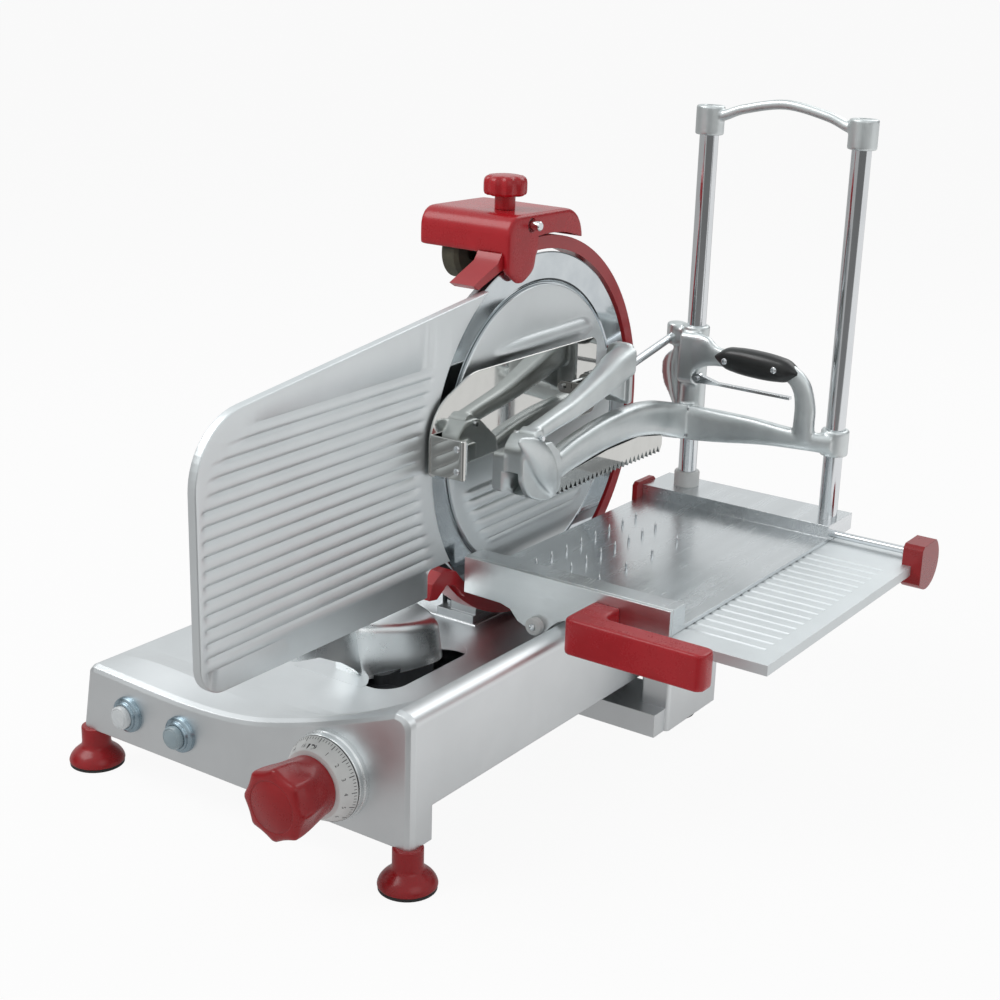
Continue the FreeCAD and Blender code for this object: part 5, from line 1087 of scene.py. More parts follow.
    def numbers(self) -> bpy.types.Object:
        """Plain numbers 0 to 15 laid on the cone.

        Returns:
            The object that holds them.
        """
        mesh = bmesh.new()
        count = self.ticks // self.ticks_a_number
        depth = abs(self.dial_y[1] - self.dial_y[0])
        for i in range(count):
            curve = bpy.data.curves.new("digit", "FONT")
            curve.body = str(i)
            curve.size = self.digit_mm
            curve.align_x, curve.align_y = "CENTER", "CENTER"
            curve.resolution_u = 3
            text = bpy.data.objects.new("digit", curve)
            flat = text.to_mesh()
            corners = [v.co.copy() for v in flat.vertices]
            faces = [list(f.vertices) for f in flat.polygons]
            text.to_mesh_clear()
            bpy.data.objects.remove(text)
            bpy.data.curves.remove(curve)
            turn = 360.0 / count * i
            made = [mesh.verts.new(self.on_cone(self.digit_share - c.y / depth,
                                                turn + math.degrees(c.x / self.digit_r))) for c in corners]
            for face in faces:
                mesh.faces.new([made[k] for k in face])
        return mesh_object("dial_numbers", mesh)

    def knob(self) -> None:
        """Flared knob with scooped grips, a flat front and a shallow ring groove in it."""
        back = self.dial_y[1]
        front = back - self.knob_len
        around, rows = 160, 44
        profile = [(self.knob_r[0] - 1.0, back), (self.knob_r[0], back - 1.2)]
        for k in range(rows + 1):
            t = k / rows
            y = back - 1.2 - (self.knob_len - 6.2) * t
            widening = (self.knob_r[1] - self.knob_r[0]) * smooth_step(t, -0.1, 0.95)
            profile.append((self.knob_r[0] + widening, y))
        edge = self.knob_r[1]
        profile += [(edge - 0.5, front + 3.4), (edge - 1.8, front + 1.9), (edge - 4.0, front + 0.9),
                    (edge - 7.5, front + 0.2), (edge - 9.6, front), (edge - 10.0, front + 0.35),
                    (edge - 10.6, front + 0.35), (edge - 11.0, front), (0.0, front)]
        mesh = lathe([(0.0, back)] + profile, (self.dial_x, 0.0, self.dial_z), (0, 1, 0), around)
        centre = at(self.dial_x, 0.0, self.dial_z)
        for vert in mesh.verts:
            dx, dz = vert.co.x - centre.x, vert.co.z - centre.z
            radius = math.hypot(dx, dz)
            y = laid_out(vert.co)[1]
            if radius * MM_PER_M < edge - 9.0 or y > back - self.knob_len * 0.16:
                continue
            lobe = (math.degrees(math.atan2(dz, dx)) / 360.0 * self.lobes) % 1.0
            scoop = max(0.0, 1.0 - (abs(lobe - 0.5) / self.scoop_half) ** 2)
            along = smooth_step((back - y) / self.knob_len, 0.16, 0.55)
            rim = smooth_step(radius * MM_PER_M, edge - 9.0, edge - 2.0)
            factor = 1.0 - self.scoop_depth * scoop * along * rim
            vert.co.x, vert.co.z = centre.x + dx * factor, centre.z + dz * factor
        self.settle(mesh_object("knob_moulded", mesh, 42.0), Surface.RED, "knob", "thickness_knob")


@dataclass(frozen=True)
class Hump:
    """Wedge-shaped block whose top falls to the right and to the rear, with a soft upper edge."""

    foot_z: float = 100.0
    left_x: float = -188.0
    corner_r: float = 9.0
    edge_r: float = 9.0
    edge_steps: int = 7
    draft: float = 1.16
    middle: Pair = (-170.0, 180.0)
    half: Pair = (31.0, 53.0)
    crest: Point = (-160.0, 131.4, 153.7)
    fall: Pair = (0.315, 0.113)
    plan: tuple[Pair, ...] = ((-200.0, 127.0), (-166.0, 127.0), (-160.0, 131.4), (-153.0, 144.0),
                              (-142.5, 176.0), (-136.0, 206.0), (-138.5, 224.0), (-152.0, 232.0),
                              (-200.0, 232.0))

    def top(self, x: float, y: float) -> float:
        """Height of the sloping top."""
        crest_x, crest_y, crest_z = self.crest
        return crest_z - self.fall[1] * (y - crest_y) - self.fall[0] * (x - crest_x)

    def cast(self) -> bmesh.types.BMesh:
        """Loft the block from its drafted foot over the soft edge to the top.

        Returns:
            A closed bmesh in metres.
        """
        (mid_x, mid_y), (half_x, half_y) = self.middle, self.half
        plan = rounded_path(self.plan, self.corner_r, 5, True)
        mesh = bmesh.new()
        rings = [[mesh.verts.new(at(max(mid_x + self.draft * (x - mid_x), self.left_x), y, self.foot_z))
                  for x, y in plan]]
        for k in range(self.edge_steps + 1):
            angle = math.pi / 2 * k / self.edge_steps
            inset, drop = self.edge_r * (1.0 - math.cos(angle)), self.edge_r * (1.0 - math.sin(angle))
            ring = []
            for px, py in plan:
                x = mid_x + (px - mid_x) * (1.0 - inset / half_x)
                y = mid_y + (py - mid_y) * (1.0 - inset / half_y)
                ring.append(mesh.verts.new(at(x, y, self.top(x, y) - drop)))
            rings.append(ring)
        for one, two in zip(rings, rings[1:]):
            band(mesh, one, two)
        mesh.faces.new(rings[-1])
        mesh.faces.new(list(reversed(rings[0])))
        bmesh.ops.recalc_face_normals(mesh, faces=mesh.faces)
        return mesh


@dataclass(frozen=True)
class Web:
    """Thin concave web from the gauge plate's lower edge down to the hump's crease."""

    front_x: float = -133.0
    top_z: float = 181.0
    crease_y: float = 131.4
    wide: float = 27.0
    lean: float = 0.4
    thick: float = 5.0
    rows: int = 12
    steps: int = 6
    low_edge: tuple[Pair, ...] = ((2.0, 170.0), (11.0, 166.0), (48.0, 156.0), (88.0, 135.0), (112.0, 119.0),
                                  (131.0, 104.0), (140.0, 100.0))

    def sheet(self, mesh: bmesh.types.BMesh, feet: Sequence[Pair],
              back: float) -> list[list[bmesh.types.BMVert]]:
        """Lay one face of the web as columns of corners.

        Args:
            mesh: The bmesh that the corners go into.
            feet: Y and z of each column's low end.
            back: How far the face lies behind the front one.

        Returns:
            The columns, each from its low end up.
        """
        columns = []
        for y, low in feet:
            depth = self.wide * min(1.0, y / self.crease_y) ** 1.5
            column = []
            for k in range(self.rows + 1):
                t = k / self.rows
                x = self.front_x - depth * (1.0 + self.lean * t) - back
                column.append(mesh.verts.new(at(x, y, low + (self.top_z - low) * t)))
            columns.append(column)
        return columns

    def cast(self) -> bmesh.types.BMesh:
        """Close two faces into a thin curved wall.

        Returns:
            A closed bmesh in metres.
        """
        feet = []
        for (y0, z0), (y1, z1) in zip(self.low_edge, self.low_edge[1:]):
            for i in range(self.steps):
                feet.append((y0 + (y1 - y0) * i / self.steps, z0 + (z1 - z0) * i / self.steps))
        feet.append(self.low_edge[-1])
        mesh = bmesh.new()
        near, far = self.sheet(mesh, feet, 0.0), self.sheet(mesh, feet, self.thick)
        for i in range(len(feet) - 1):
            for k in range(self.rows):
                mesh.faces.new((near[i][k], near[i + 1][k], near[i + 1][k + 1], near[i][k + 1]))
                mesh.faces.new((far[i][k], far[i][k + 1], far[i + 1][k + 1], far[i + 1][k]))
            for k in (0, self.rows):
                mesh.faces.new((near[i][k], near[i + 1][k], far[i + 1][k], far[i][k]))
        for i in (0, len(feet) - 1):
            for k in range(self.rows):
                mesh.faces.new((near[i][k], near[i][k + 1], far[i][k + 1], far[i][k]))
        bmesh.ops.recalc_face_normals(mesh, faces=mesh.faces)
        return mesh


@dataclass
class Gauge(Piece):
    """Ribbed gauge plate on its carrier with the smooth hump."""

    face_x: float = -122.0
    back_x: float = -131.0
    front_y: float = -112.0
    end_y: float = 290.0
    corner_y: float = 267.7
    bottom_z: float = 176.0
    top_z: float = 408.0
    top_run: float = 49.6
    top_slope: float = 0.138
    lower_r: float = 26.0
    upper_r: float = 62.0
    tip_y: float = 181.0
    tip_z: float = 203.0
    tip_r: float = 6.0
    bite_r: float = 178.8
    bite_steps: int = 48
    rim_r: float = 2.6
    field_front: Pair = (5.0, 11.0)
    field_bite: Pair = (196.0, 206.0)
    field_corner: Pair = (42.0, 50.0)
    field_top: Pair = (9.0, 14.0)
    flange_z: Pair = (105.05, 105.3)
    carrier_z: float = 104.0
    ribs: Ribs = Ribs()
    hump: Hump = Hump()
    web: Web = Web()

    def top(self, y: float) -> float:
        """Height of the sloping top edge."""
        return self.top_z + self.top_slope * (y - self.front_y - self.top_run)

    def build(self) -> None:
        """Cast the plate and the hump, and dress the rest."""
        self.palette.dress(Surface.STEEL, "gauge_screws")
        self.palette.dress(Surface.CHROME, "gauge_guide_rods")
        self.plate()
        self.carrier()

    def outline(self) -> list[Pair]:
        """Lay out the plate: rounded front, sloping top, and the bite that clears the blade.

        Returns:
            The outline's points in y and z.
        """
        front = fillet_path([(self.tip_y, self.bottom_z, 0.0), (self.front_y, self.bottom_z, self.lower_r),
                             (self.front_y, self.top(self.front_y), self.upper_r),
                             (self.end_y, self.top(self.end_y), 0.0)], 14)
        start = math.atan2(self.top(self.corner_y) - AXIS_Z, self.corner_y - AXIS_Y)
        end = math.pi + math.asin((AXIS_Z - self.tip_z) / self.bite_r)
        bite = []
        for i in range(self.bite_steps + 1):
            a = start + (end - start) * i / self.bite_steps
            bite.append((AXIS_Y + self.bite_r * math.cos(a), AXIS_Z + self.bite_r * math.sin(a)))
        step = fillet_path([(bite[-1][0], self.tip_z, 0.0), (self.tip_y, self.tip_z, self.tip_r),
                            (self.tip_y, self.bottom_z, 0.0)], 5)
        return front[:-1] + bite + step[1:-1]

    def height(self, y: float, z: float) -> float:
        """Relief of the plate's face: grooves between the ribs, fading at the field's border.

        Args:
            y: Place along the side, in mm.
            z: Height of the place, in mm.

        Returns:
            Rise of the face, 0 or less, in mm.
        """
        place = self.ribs.place(y, z)
        if place < -1.0 or place > self.ribs.count - 1:
            return 0.0
        low, high = self.field_front
        field = smooth_step(y, self.front_y + low, self.front_y + high)
        field *= smooth_step(math.hypot(y - AXIS_Y, z - AXIS_Z), *self.field_bite)
        corner = (self.front_y + self.upper_r, self.top(self.front_y) - self.upper_r - 2.0)
        if y < corner[0] and z > corner[1]:
            field *= 1.0 - smooth_step(math.hypot(y - corner[0], z - corner[1]), *self.field_corner)
        field *= smooth_step(self.top(y) - z, *self.field_top)
        return -self.ribs.depth * (1.0 - self.ribs.shape(place % 1.0)) * field

    def plate(self) -> None:
        """Cast the plate with its corrugated face."""
        mesh = slab(self.outline(), Side.X, self.back_x, self.face_x)
        for x in (self.face_x, self.back_x):
            rounded_rim(mesh, x, self.rim_r)
        cuts = self.ribs.cuts(-1, self.ribs.count - 1, 8)
        cuts += upright_cuts(self.front_y + 4.0, self.front_y + 12.0, 2.0)
        cuts += upright_cuts(-96.0, 130.0, 9.0) + upright_cuts(134.0, 262.0, 4.0)
        relief(mesh, cuts, self.face_x, self.height)
        self.settle(mesh_object("gauge_plate_cast", mesh, 50.0), Surface.GAUGE, "gauge", "gauge_plate")

    def carrier(self) -> None:
        """Cast the polished hump and its web, the thin flange over the slot, and the carrier's lower half,
        coloured near black as painted shade inside the slot.
        """
        hump = mesh_object("hump_cast", joined([self.hump.cast(), self.web.cast()]), 45.0)
        self.settle(hump, Surface.POLISHED, "gauge")
        plan = rounded_path([(-226.0, 108.0), (-141.0, 108.0), (-141.0, 116.0), (-150.0, 130.0),
                             (-161.0, 138.0), (-161.0, 216.0), (-142.0, 225.0), (-126.0, 231.5),
                             (-104.0, 231.5), (-104.0, 251.0), (-226.0, 251.0)], 5.0, 4, True)
        flange = mesh_object("slot_flange", slab(plan, Side.Z, *self.flange_z))
        self.settle(flange, Surface.FLANGE, "gauge")
        # The carrier's lower half, under the deck in the slot, is coloured near black as painted shade.
        lower = trimmed(cad_copy("gauge_carrier"), at(0, 0, self.carrier_z), (0, 0, 1))
        self.settle(mesh_object("carrier_cast", lower), Surface.CAVITY, "gauge", "gauge_carrier")


@dataclass(frozen=True)
class Bulge:
    """Long bulge across the disc, thin at its front end and full behind."""

    start_y: float = 296.0
    length: float = 160.0
    middle: Pair = (340.0, 388.0)
    slope: float = 0.02
    thin: float = 3.5
    widening: float = 8.5
    tall: float = 5.0
    upward: float = 0.25
    lowest_cut: float = 374.0
    cut_step: float = 1.6
    cut_count: int = 19

    def height(self, y: float, z: float) -> float:
        """Height of the bulge over the disc.

        Args:
            y: Place along the side, in mm.
            z: Height of the place, in mm.

        Returns:
            Height in mm, 0 beside the bulge.
        """
        along = (y - self.start_y) / self.length
        if not 0.0 < along < 1.15:
            return 0.0
        belly = math.sin(math.pi * min(1.0, along) ** 0.8) ** 0.55 if along < 0.62 else 1.0
        belly *= 1.0 - smooth_step(along, 0.9, 1.12)
        lift = z - self.middle[1] - self.slope * (y - self.middle[0])
        across = lift / (self.thin + self.widening * belly)
        if abs(across) >= 1.0:
            return 0.0
        return self.tall * belly * (math.cos(math.pi / 2 * across) ** 0.9) * (1.0 + self.upward * across)

    def cuts(self) -> list[Plane]:
        """Lay planes along the bulge."""
        return [((0.0, self.middle[0], self.lowest_cut + self.cut_step * i), (0.0, -self.slope, 1.0))
                for i in range(self.cut_count)]


@dataclass
class BladeGroup(Piece):
    """Blade with the disc over it, its housing, drive and ring guard."""

    edge_x: float = -131.6
    cover_r: float = 143.0
    cover_x: Pair = (-134.1, -131.1)
    cover_steps: int = 144
    relief_r: Pair = (126.0, 136.0)
    rib_r: float = 132.0
    rib_ends: Pair = (4.0, 16.0)
    rib_low: Pair = (-1.6, -1.0)
    rib_high: Pair = (3.6, 4.0)
    wedge_z: float = 453.0
    wedge: tuple[tuple[float, Pair], ...] = ((212.0, (253.0, 459.5)), (233.0, (261.0, 455.0)),
                                             (260.0, (291.0, 476.0)))
    ribs: Ribs = Ribs()
    bulge: Bulge = Bulge()

    def build(self) -> None:
        """Turn the blade, cast the disc and dress the drive."""
        self.palette.dress(Surface.STEEL, "blade_screws", "blade_shaft", "blade_pulley", "motor_pulley",
                           "tie_rod")
        self.palette.dress(Surface.BRONZE, "blade_bearings")
        self.palette.dress(Surface.BLASTED, "drive_cover")
        self.palette.dress(Surface.HOUSING, "blade_housing")
        self.palette.dress(Surface.RED, "cover_knob")
        self.palette.dress(Surface.MOTOR, "drive_motor")
        self.palette.dress(Surface.RUBBER, "drive_belt")
        self.blade()
        self.disc()
        self.guard()

    def blade(self) -> None:
        """Dished knife with a ground bevel and a fine edge."""
        x = self.edge_x
        knife = [(22.0, x - 3.0), (144.5, x - 3.0), (146.5, x - 1.5), (148.5, x - 1.1), (173.6, x),
                 (174.9, x - 0.3), (174.95, x - 0.7), (162.0, x - 4.4), (22.0, x - 4.4), (22.0, x - 3.0)]
        mesh = lathe(knife, (0.0, AXIS_Y, AXIS_Z), (1, 0, 0), 256)
        self.settle(mesh_object("blade_ground", mesh, 8.0), Surface.BLADE, "blade_rotor", "blade")

    def height(self, y: float, z: float) -> float:
        """Relief of the disc: a long bulge above the middle and ribs below.

        Args:
            y: Place along the side, in mm.
            z: Height of the place, in mm.

        Returns:
            Rise of the face in mm.
        """
        inside = 1.0 - smooth_step(math.hypot(y - AXIS_Y, z - AXIS_Z), *self.relief_r)
        place = self.ribs.place(y, z)
        rib = 0.0
        if self.rib_low[0] < place < self.rib_high[1]:
            half = math.sqrt(max(1.0, self.rib_r ** 2 - (z - AXIS_Z) ** 2))
            ends = smooth_step(half - abs(y - AXIS_Y), *self.rib_ends)
            rib = self.ribs.depth * self.ribs.shape(place % 1.0) * ends * smooth_step(place, *self.rib_low)
            rib *= 1.0 - smooth_step(place, *self.rib_high)
        return (self.bulge.height(y, z) + rib) * inside

    def guard(self) -> None:
        """Ring guard with its deflecting wedge drawn back to the hood."""
        mesh = cad_copy("ring_guard")
        for vert in mesh.verts:
            _, y, z = laid_out(vert.co)
            for corner, (new_y, new_z) in self.wedge:
                if z > self.wedge_z and abs(y - corner) < 0.5:
                    vert.co.y = (new_y + ORIGIN_SHIFT.y) / MM_PER_M
                    vert.co.z = (new_z + ORIGIN_SHIFT.z) / MM_PER_M
        self.settle(mesh_object("guard_enamelled", mesh), Surface.ENAMEL, "machine", "ring_guard")

    def disc(self) -> None:
        """Cast disc over the blade's middle."""
        rim = []
        for i in range(self.cover_steps):
            a = 2 * math.pi * i / self.cover_steps
            rim.append((AXIS_Y + self.cover_r * math.cos(a), AXIS_Z + self.cover_r * math.sin(a)))
        mesh = slab(rim, Side.X, *self.cover_x)
        rounded_rim(mesh, self.cover_x[1], 1.6)
        cuts = self.ribs.cuts(-2, 4, 8) + upright_cuts(228.0, 500.0, 5.0) + self.bulge.cuts()
        relief(mesh, cuts, self.cover_x[1], self.height)
        self.settle(mesh_object("disc_cast", mesh, 50.0), Surface.DISC, "machine", "blade_cover")


@dataclass
class Sharpener(Piece):
    """Red hood with its knob and stones."""

    hood_x: Pair = (-229.0, -122.5)
    hood_y: Pair = (298.0, 426.0)
    hood_z: Pair = (482.0, 520.0)
    knob_place: Pair = (-160.0, 342.0)
    knob_r: float = 21.0
    stem_r: float = 10.0
    lobes: int = 8
    scoop_depth: float = 0.11
    scoop_half: float = 0.3
    yoke_gap: float = 6.0
    wall: float = 4.5
    arch_r: float = 194.5

    def build(self) -> None:
        """Mould the hood and knob, and dress the stones."""
        yoke = trimmed(cad_copy("stone_yoke"), at(0, 0, self.hood_z[1] - self.yoke_gap), (0, 0, 1))
        self.settle(mesh_object("yoke_cast", yoke), Surface.BLASTED, "sharpener", "stone_yoke")
        self.palette.dress(Surface.STONE, "grinding_stone")
        self.palette.dress(Surface.CHROME, "deburring_stone")
        self.hood()
        self.knob()

    def hood(self) -> None:
        """Hood: broad soft shell with a tongue in front and an arch over the ring guard."""
        (x0, x1), (y0, y1), (z0, z1) = self.hood_x, self.hood_y, self.hood_z
        side = fillet_path([(y0, z0, 0.0), (y0, z1 - 1.0, 18.0), (y1 - 4.0, z1 - 2.0, 30.0), (y1, z0, 0.0)],
                           8)
        shell = slab(side, Side.X, x0, x1)
        lip = fillet_path([(y0, z0 + 16.0, 0.0), (y0, z0 - 16.0, 12.0), (y0 + 22.0, z0 - 31.0, 14.0),
                           (y0 + 44.0, z0 - 18.0, 12.0), (y0 + 49.0, z0 + 4.0, 0.0),
                           (y0 + 49.0, z0 + 16.0, 0.0)], 5)
        tongue = slab(lip, Side.X, x1 - 9.0, x1)
        t = self.wall
        hollow = fillet_path([(y0 + t, z0 - 40.0, 0.0), (y0 + t, z1 - 5.0, 14.0), (y1 - 8.0, z1 - 6.0, 26.0),
                              (y1 - t, z0 - 40.0, 0.0)], 6)
        inner = slab(hollow, Side.X, x0 + t, x1 - t)
        arch = [(0.0, x0 - 4.0), (self.arch_r, x0 - 4.0), (self.arch_r, x1 + 4.0), (0.0, x1 + 4.0)]
        ring = lathe(arch, (0.0, AXIS_Y, AXIS_Z), (1, 0, 0), 200)
        trimmed(ring, at(0, y0 + 48.0, 0), (0, -1, 0))
        notch = lathe([(0.0, x1 - 7.0), (7.0, x1 - 7.0), (7.0, x1 + 4.0), (0.0, x1 + 4.0)],
                      (0.0, y0 + 37.0, z1 - 12.0), (1, 0, 0), 24)
        thing = casting("hood_moulded", [shell, tongue], 1.5, 26, [inner, ring, notch])
        self.settle(thing, Surface.SCARLET, "sharpener", "sharpener_cover")

    def knob(self) -> None:
        """Lobed knob with a soft top on its plain stem."""
        base = self.hood_z[1]
        r = self.knob_r
        turned = [(0.0, base - 38.0), (3.0, base - 38.0), (3.0, base - 1.0), (self.stem_r, base - 1.0),
                  (self.stem_r, base + 12.0), (r - 3.0, base + 12.2), (r - 1.0, base + 13.2),
                  (r - 0.2, base + 15.0), (r, base + 18.0), (r, base + 24.0), (r - 0.5, base + 27.0),
                  (r - 1.6, base + 29.0), (r - 3.6, base + 30.4), (r - 7.0, base + 31.0), (0.0, base + 31.4)]
        mesh = lathe(turned, (*self.knob_place, 0.0), (0, 0, 1), 128)
        centre = at(*self.knob_place, 0.0)
        for vert in mesh.verts:
            dx, dy = vert.co.x - centre.x, vert.co.y - centre.y
            radius = math.hypot(dx, dy) * MM_PER_M
            if radius < self.stem_r + 1.0:
                continue
            lobe = (math.degrees(math.atan2(dy, dx)) / 360.0 * self.lobes) % 1.0
            scoop = max(0.0, 1.0 - (abs(lobe - 0.5) / self.scoop_half) ** 2)
            scoop *= smooth_step(radius, r - 8.0, r - 2.0)
            factor = 1 - self.scoop_depth * scoop
            vert.co.x, vert.co.y = centre.x + dx * factor, centre.y + dy * factor
        self.settle(mesh_object("lock_knob_moulded", mesh, 40.0), Surface.SCARLET, "sharpener_nut",
                    "sharpener_knob")


@dataclass
class Carriage(Piece):
    """Column, fluted plate, fence, handle and end caps."""

    handle_x: Pair = (30.0, 172.0)
    handle_y: Pair = (178.0, 202.0)
    handle_z: Pair = (161.0, 196.0)

    def build(self) -> None:
        """Mould the handle and buffer, turn the rods and dress the castings."""
        self.palette.dress(Surface.CHROME, "carriage_rail")
        self.palette.dress(Surface.BLASTED, "carriage_arm")
        self.palette.dress(Surface.FLUTED, "carriage_plate")
        self.palette.dress(Surface.BRONZE, "rail_bushes")
        self.palette.dress(Surface.SHEET, "carriage_apron")
        self.palette.dress(Surface.RED, "rod_end_caps")
        self.handle()
        rod = lathe([(0.0, -120.0), (3.95, -120.0), (3.95, 213.0), (0.0, 213.0)], (0.0, 575.0, 187.0),
                    (1, 0, 0), 48)
        self.settle(mesh_object("cross_rod_ground", rod), Surface.CHROME, "carriage", "cross_guide_rod")
        puck = [(0.0, 231.0), (8.0, 231.0), (8.5, 230.4), (8.5, 225.0), (8.0, 223.9), (6.9, 223.2),
                (3.6, 223.0), (3.4, 224.0), (0.0, 224.0)]
        self.settle(mesh_object("buffer_turned", lathe(puck, (-32.0, 0.0, 156.5), (0, 1, 0), 48)),
                    Surface.WHITE, "carriage", "stop_buffer")
        screw = [(0.0, 221.8), (2.2, 221.9), (3.2, 222.6), (3.3, 224.2), (0.0, 224.2)]
        self.settle(mesh_object("buffer_screw", lathe(screw, (-32.0, 0.0, 156.5), (0, 1, 0), 32)),
                    Surface.CHROME, "carriage")

    def handle(self) -> None:
        """L-shaped push handle with soft edges and a rounded inner corner."""
        (x0, x1), (y0, y1), (z0, z1) = self.handle_x, self.handle_y, self.handle_z
        plan = fillet_path([(x0, 231.0, 0.0), (x0, y0, 7.0), (x1, y0, 8.0), (x1, y1, 8.0),
                            (x0 + 28.0, y1, 9.0), (x0 + 28.0, 231.0, 0.0)], 6)
        bar = slab(plan, Side.Z, z0 + 1.0, z1)
        thing = casting("handle_moulded", [bar], 1.5, 10)
        self.settle(thing, Surface.SCARLET, "carriage", "carriage_handle")


@dataclass
class Table(Piece):
    """Sliding table with its spikes, rods and bridge."""

    rod_x: Pair = (-79.0, 93.0)
    rod_y: float = 594.0
    rod_r: float = 10.0
    floor_z: float = 184.3
    cap_z: Pair = (581.0, 611.0)

    def build(self) -> None:
        """Set the spikes, turn the rods and cast the bridge."""
        self.palette.dress(Surface.TABLE, "slide_table")
        self.palette.dress(Surface.STEEL, "bridge_screws")
        self.rods()
        self.bridge()
        self.spikes()

    def rods(self) -> None:
        """Polished rods and the white collar at the foot of the left one."""
        z0 = self.floor_z - 4.0
        bar = [(0.0, z0), (self.rod_r, z0), (self.rod_r, 605.0), (self.rod_r - 1.0, 606.0), (0.0, 606.0)]
        rods = joined([lathe(bar, (x, self.rod_y, 0.0), (0, 0, 1), 96) for x in self.rod_x])
        self.settle(mesh_object("rods_ground", rods), Surface.CHROME, "table", "portal_rods")
        ring = [(10.05, 198.0), (13.4, 198.0), (14.0, 198.8), (14.0, 213.6), (13.0, 215.0), (10.05, 215.0),
                (10.05, 198.0)]
        collar = lathe(ring, (self.rod_x[0], self.rod_y, 0.0), (0, 0, 1), 64)
        self.settle(mesh_object("collar_turned", collar), Surface.WHITE, "table", "rod_collar")

    def bridge(self) -> None:
        """Arch that flares into two cylindrical caps."""
        left, right = self.rod_x
        mid = (left + right) / 2
        z = self.cap_z[1]
        arch = [Station((left + 4.0, self.rod_y, z - 11.0), (0, 9.5, 0), (-1.0, 0, 7.5), 2.6),
                Station((left + 18.0, self.rod_y, z - 8.6), (0, 6.4, 0), (-1.4, 0, 5.2), 2.6),
                Station((left + 40.0, self.rod_y, z - 0.9), (0, 5.6, 0), (-1.2, 0, 4.7), 3.0),
                Station((mid, self.rod_y, z + 6.8), (0, 5.6, 0), (0, 0, 4.9), 3.0),
                Station((right - 40.0, self.rod_y, z - 0.9), (0, 5.6, 0), (1.2, 0, 4.7), 3.0),
                Station((right - 18.0, self.rod_y, z - 8.6), (0, 6.4, 0), (1.4, 0, 5.2), 2.6),
                Station((right - 4.0, self.rod_y, z - 11.0), (0, 9.5, 0), (1.0, 0, 7.5), 2.6)]
        low, high = self.cap_z
        cap = [(0.0, low), (14.0, low), (14.9, low + 1.2), (14.9, high - 1.4), (13.8, high), (0.0, high)]
        caps = [lathe(cap, (x, self.rod_y, 0.0), (0, 0, 1), 72) for x in self.rod_x]
        bores = [lathe([(0.0, low - 3.0), (10.05, low - 3.0), (10.05, 606.2), (7.0, 606.2), (7.0, high + 3.0),
                        (0.0, high + 3.0)], (x, self.rod_y, 0.0), (0, 0, 1), 64) for x in self.rod_x]
        self.settle(casting("bridge_cast", [sweep(arch, 8, 32)] + caps, 1.1, 4, bores), Surface.ARM, "table",
                    "portal_bridge")

    def spikes(self) -> None:
        """Rows of pointed pins, repeated from one pin with Geometry Nodes."""
        z = self.floor_z
        pin = lathe([(0.0, z - 3.0), (1.3, z - 3.0), (1.3, z + 4.4), (0.95, z + 5.4), (0.16, z + 8.9),
                     (0.0, z + 9.0)],
                    (0.0, 0.0, 0.0), (0, 0, 1), 14)
        for vert in pin.verts:
            vert.co -= at(0.0, 0.0, 0.0)
        unit = mesh_object("spike_unit", pin, 50.0)
        rows = [Row((-80.0, 272.0), 27.0, 9), Row((-47.0, 284.0), 27.0, 8), Row((-8.0, 300.0), 50.0, 4)]
        made = [row_of(unit, row, self.palette.get(Surface.CHROME)) for row in rows]
        mesh = bmesh.new()
        for thing in made:
            mesh.from_mesh(thing.data)
            bpy.data.objects.remove(thing)
        bpy.data.objects.remove(unit)
        self.settle(mesh_object("spikes_turned", mesh, 50.0), Surface.CHROME, "table", "table_spikes")


@dataclass(frozen=True)
class Row:
    """A straight row of equal pieces along Y: place of the first, pitch and count."""

    start: Pair
    pitch: float
    count: int


def row_of(unit: bpy.types.Object, row: Row, material: bpy.types.Material) -> bpy.types.Object:
    """Repeat a piece along a row with Geometry Nodes.

    Args:
        unit: The piece, about the layout's origin.
        row: Where the copies stand.
        material: The copies' material.

    Returns:
        A plain mesh object with all the copies.
    """
    tree = bpy.data.node_groups.new("Row Of Pieces", "GeometryNodeTree")
    labels = {"Piece": "NodeSocketObject", "Count": "NodeSocketInt", "Start": "NodeSocketVector",
              "Step": "NodeSocketVector", "Material": "NodeSocketMaterial"}
    sockets = {label: tree.interface.new_socket(label, in_out="INPUT", socket_type=kind)
               for label, kind in labels.items()}
    tree.interface.new_socket("Geometry", in_out="OUTPUT", socket_type="NodeSocketGeometry")
    wiring = Wiring(tree)
    start, end = wiring.add("NodeGroupInput"), wiring.add("NodeGroupOutput")
    line = wiring.add("GeometryNodeMeshLine", {"Count": start.outputs["Count"],
                                               "Start Location": start.outputs["Start"],
                                               "Offset": start.outputs["Step"]}, mode="OFFSET")
    piece = wiring.add("GeometryNodeObjectInfo", {"Object": start.outputs["Piece"]})
    copies = wiring.add("GeometryNodeInstanceOnPoints", {"Points": line.outputs[0],
                                                         "Instance": piece.outputs["Geometry"]})
    solid = wiring.add("GeometryNodeRealizeInstances", {"Geometry": copies.outputs[0]})
    dressed = wiring.add("GeometryNodeSetMaterial", {"Geometry": solid.outputs[0],
                                                     "Material": start.outputs["Material"]})
    wiring.feed(dressed.outputs[0], end.inputs[0])
    holder = bpy.data.objects.new("row", bpy.data.meshes.new("row"))
    bpy.context.scene.collection.objects.link(holder)
    modifier = holder.modifiers.new("Row", "NODES")
    modifier.node_group = tree
    values = {"Piece": unit, "Count": row.count, "Start": at(*row.start, 0.0),
              "Step": Vector((0, row.pitch / MM_PER_M, 0)), "Material": material}
    for label, value in values.items():
        modifier[sockets[label].identifier] = value
    return settled(holder)


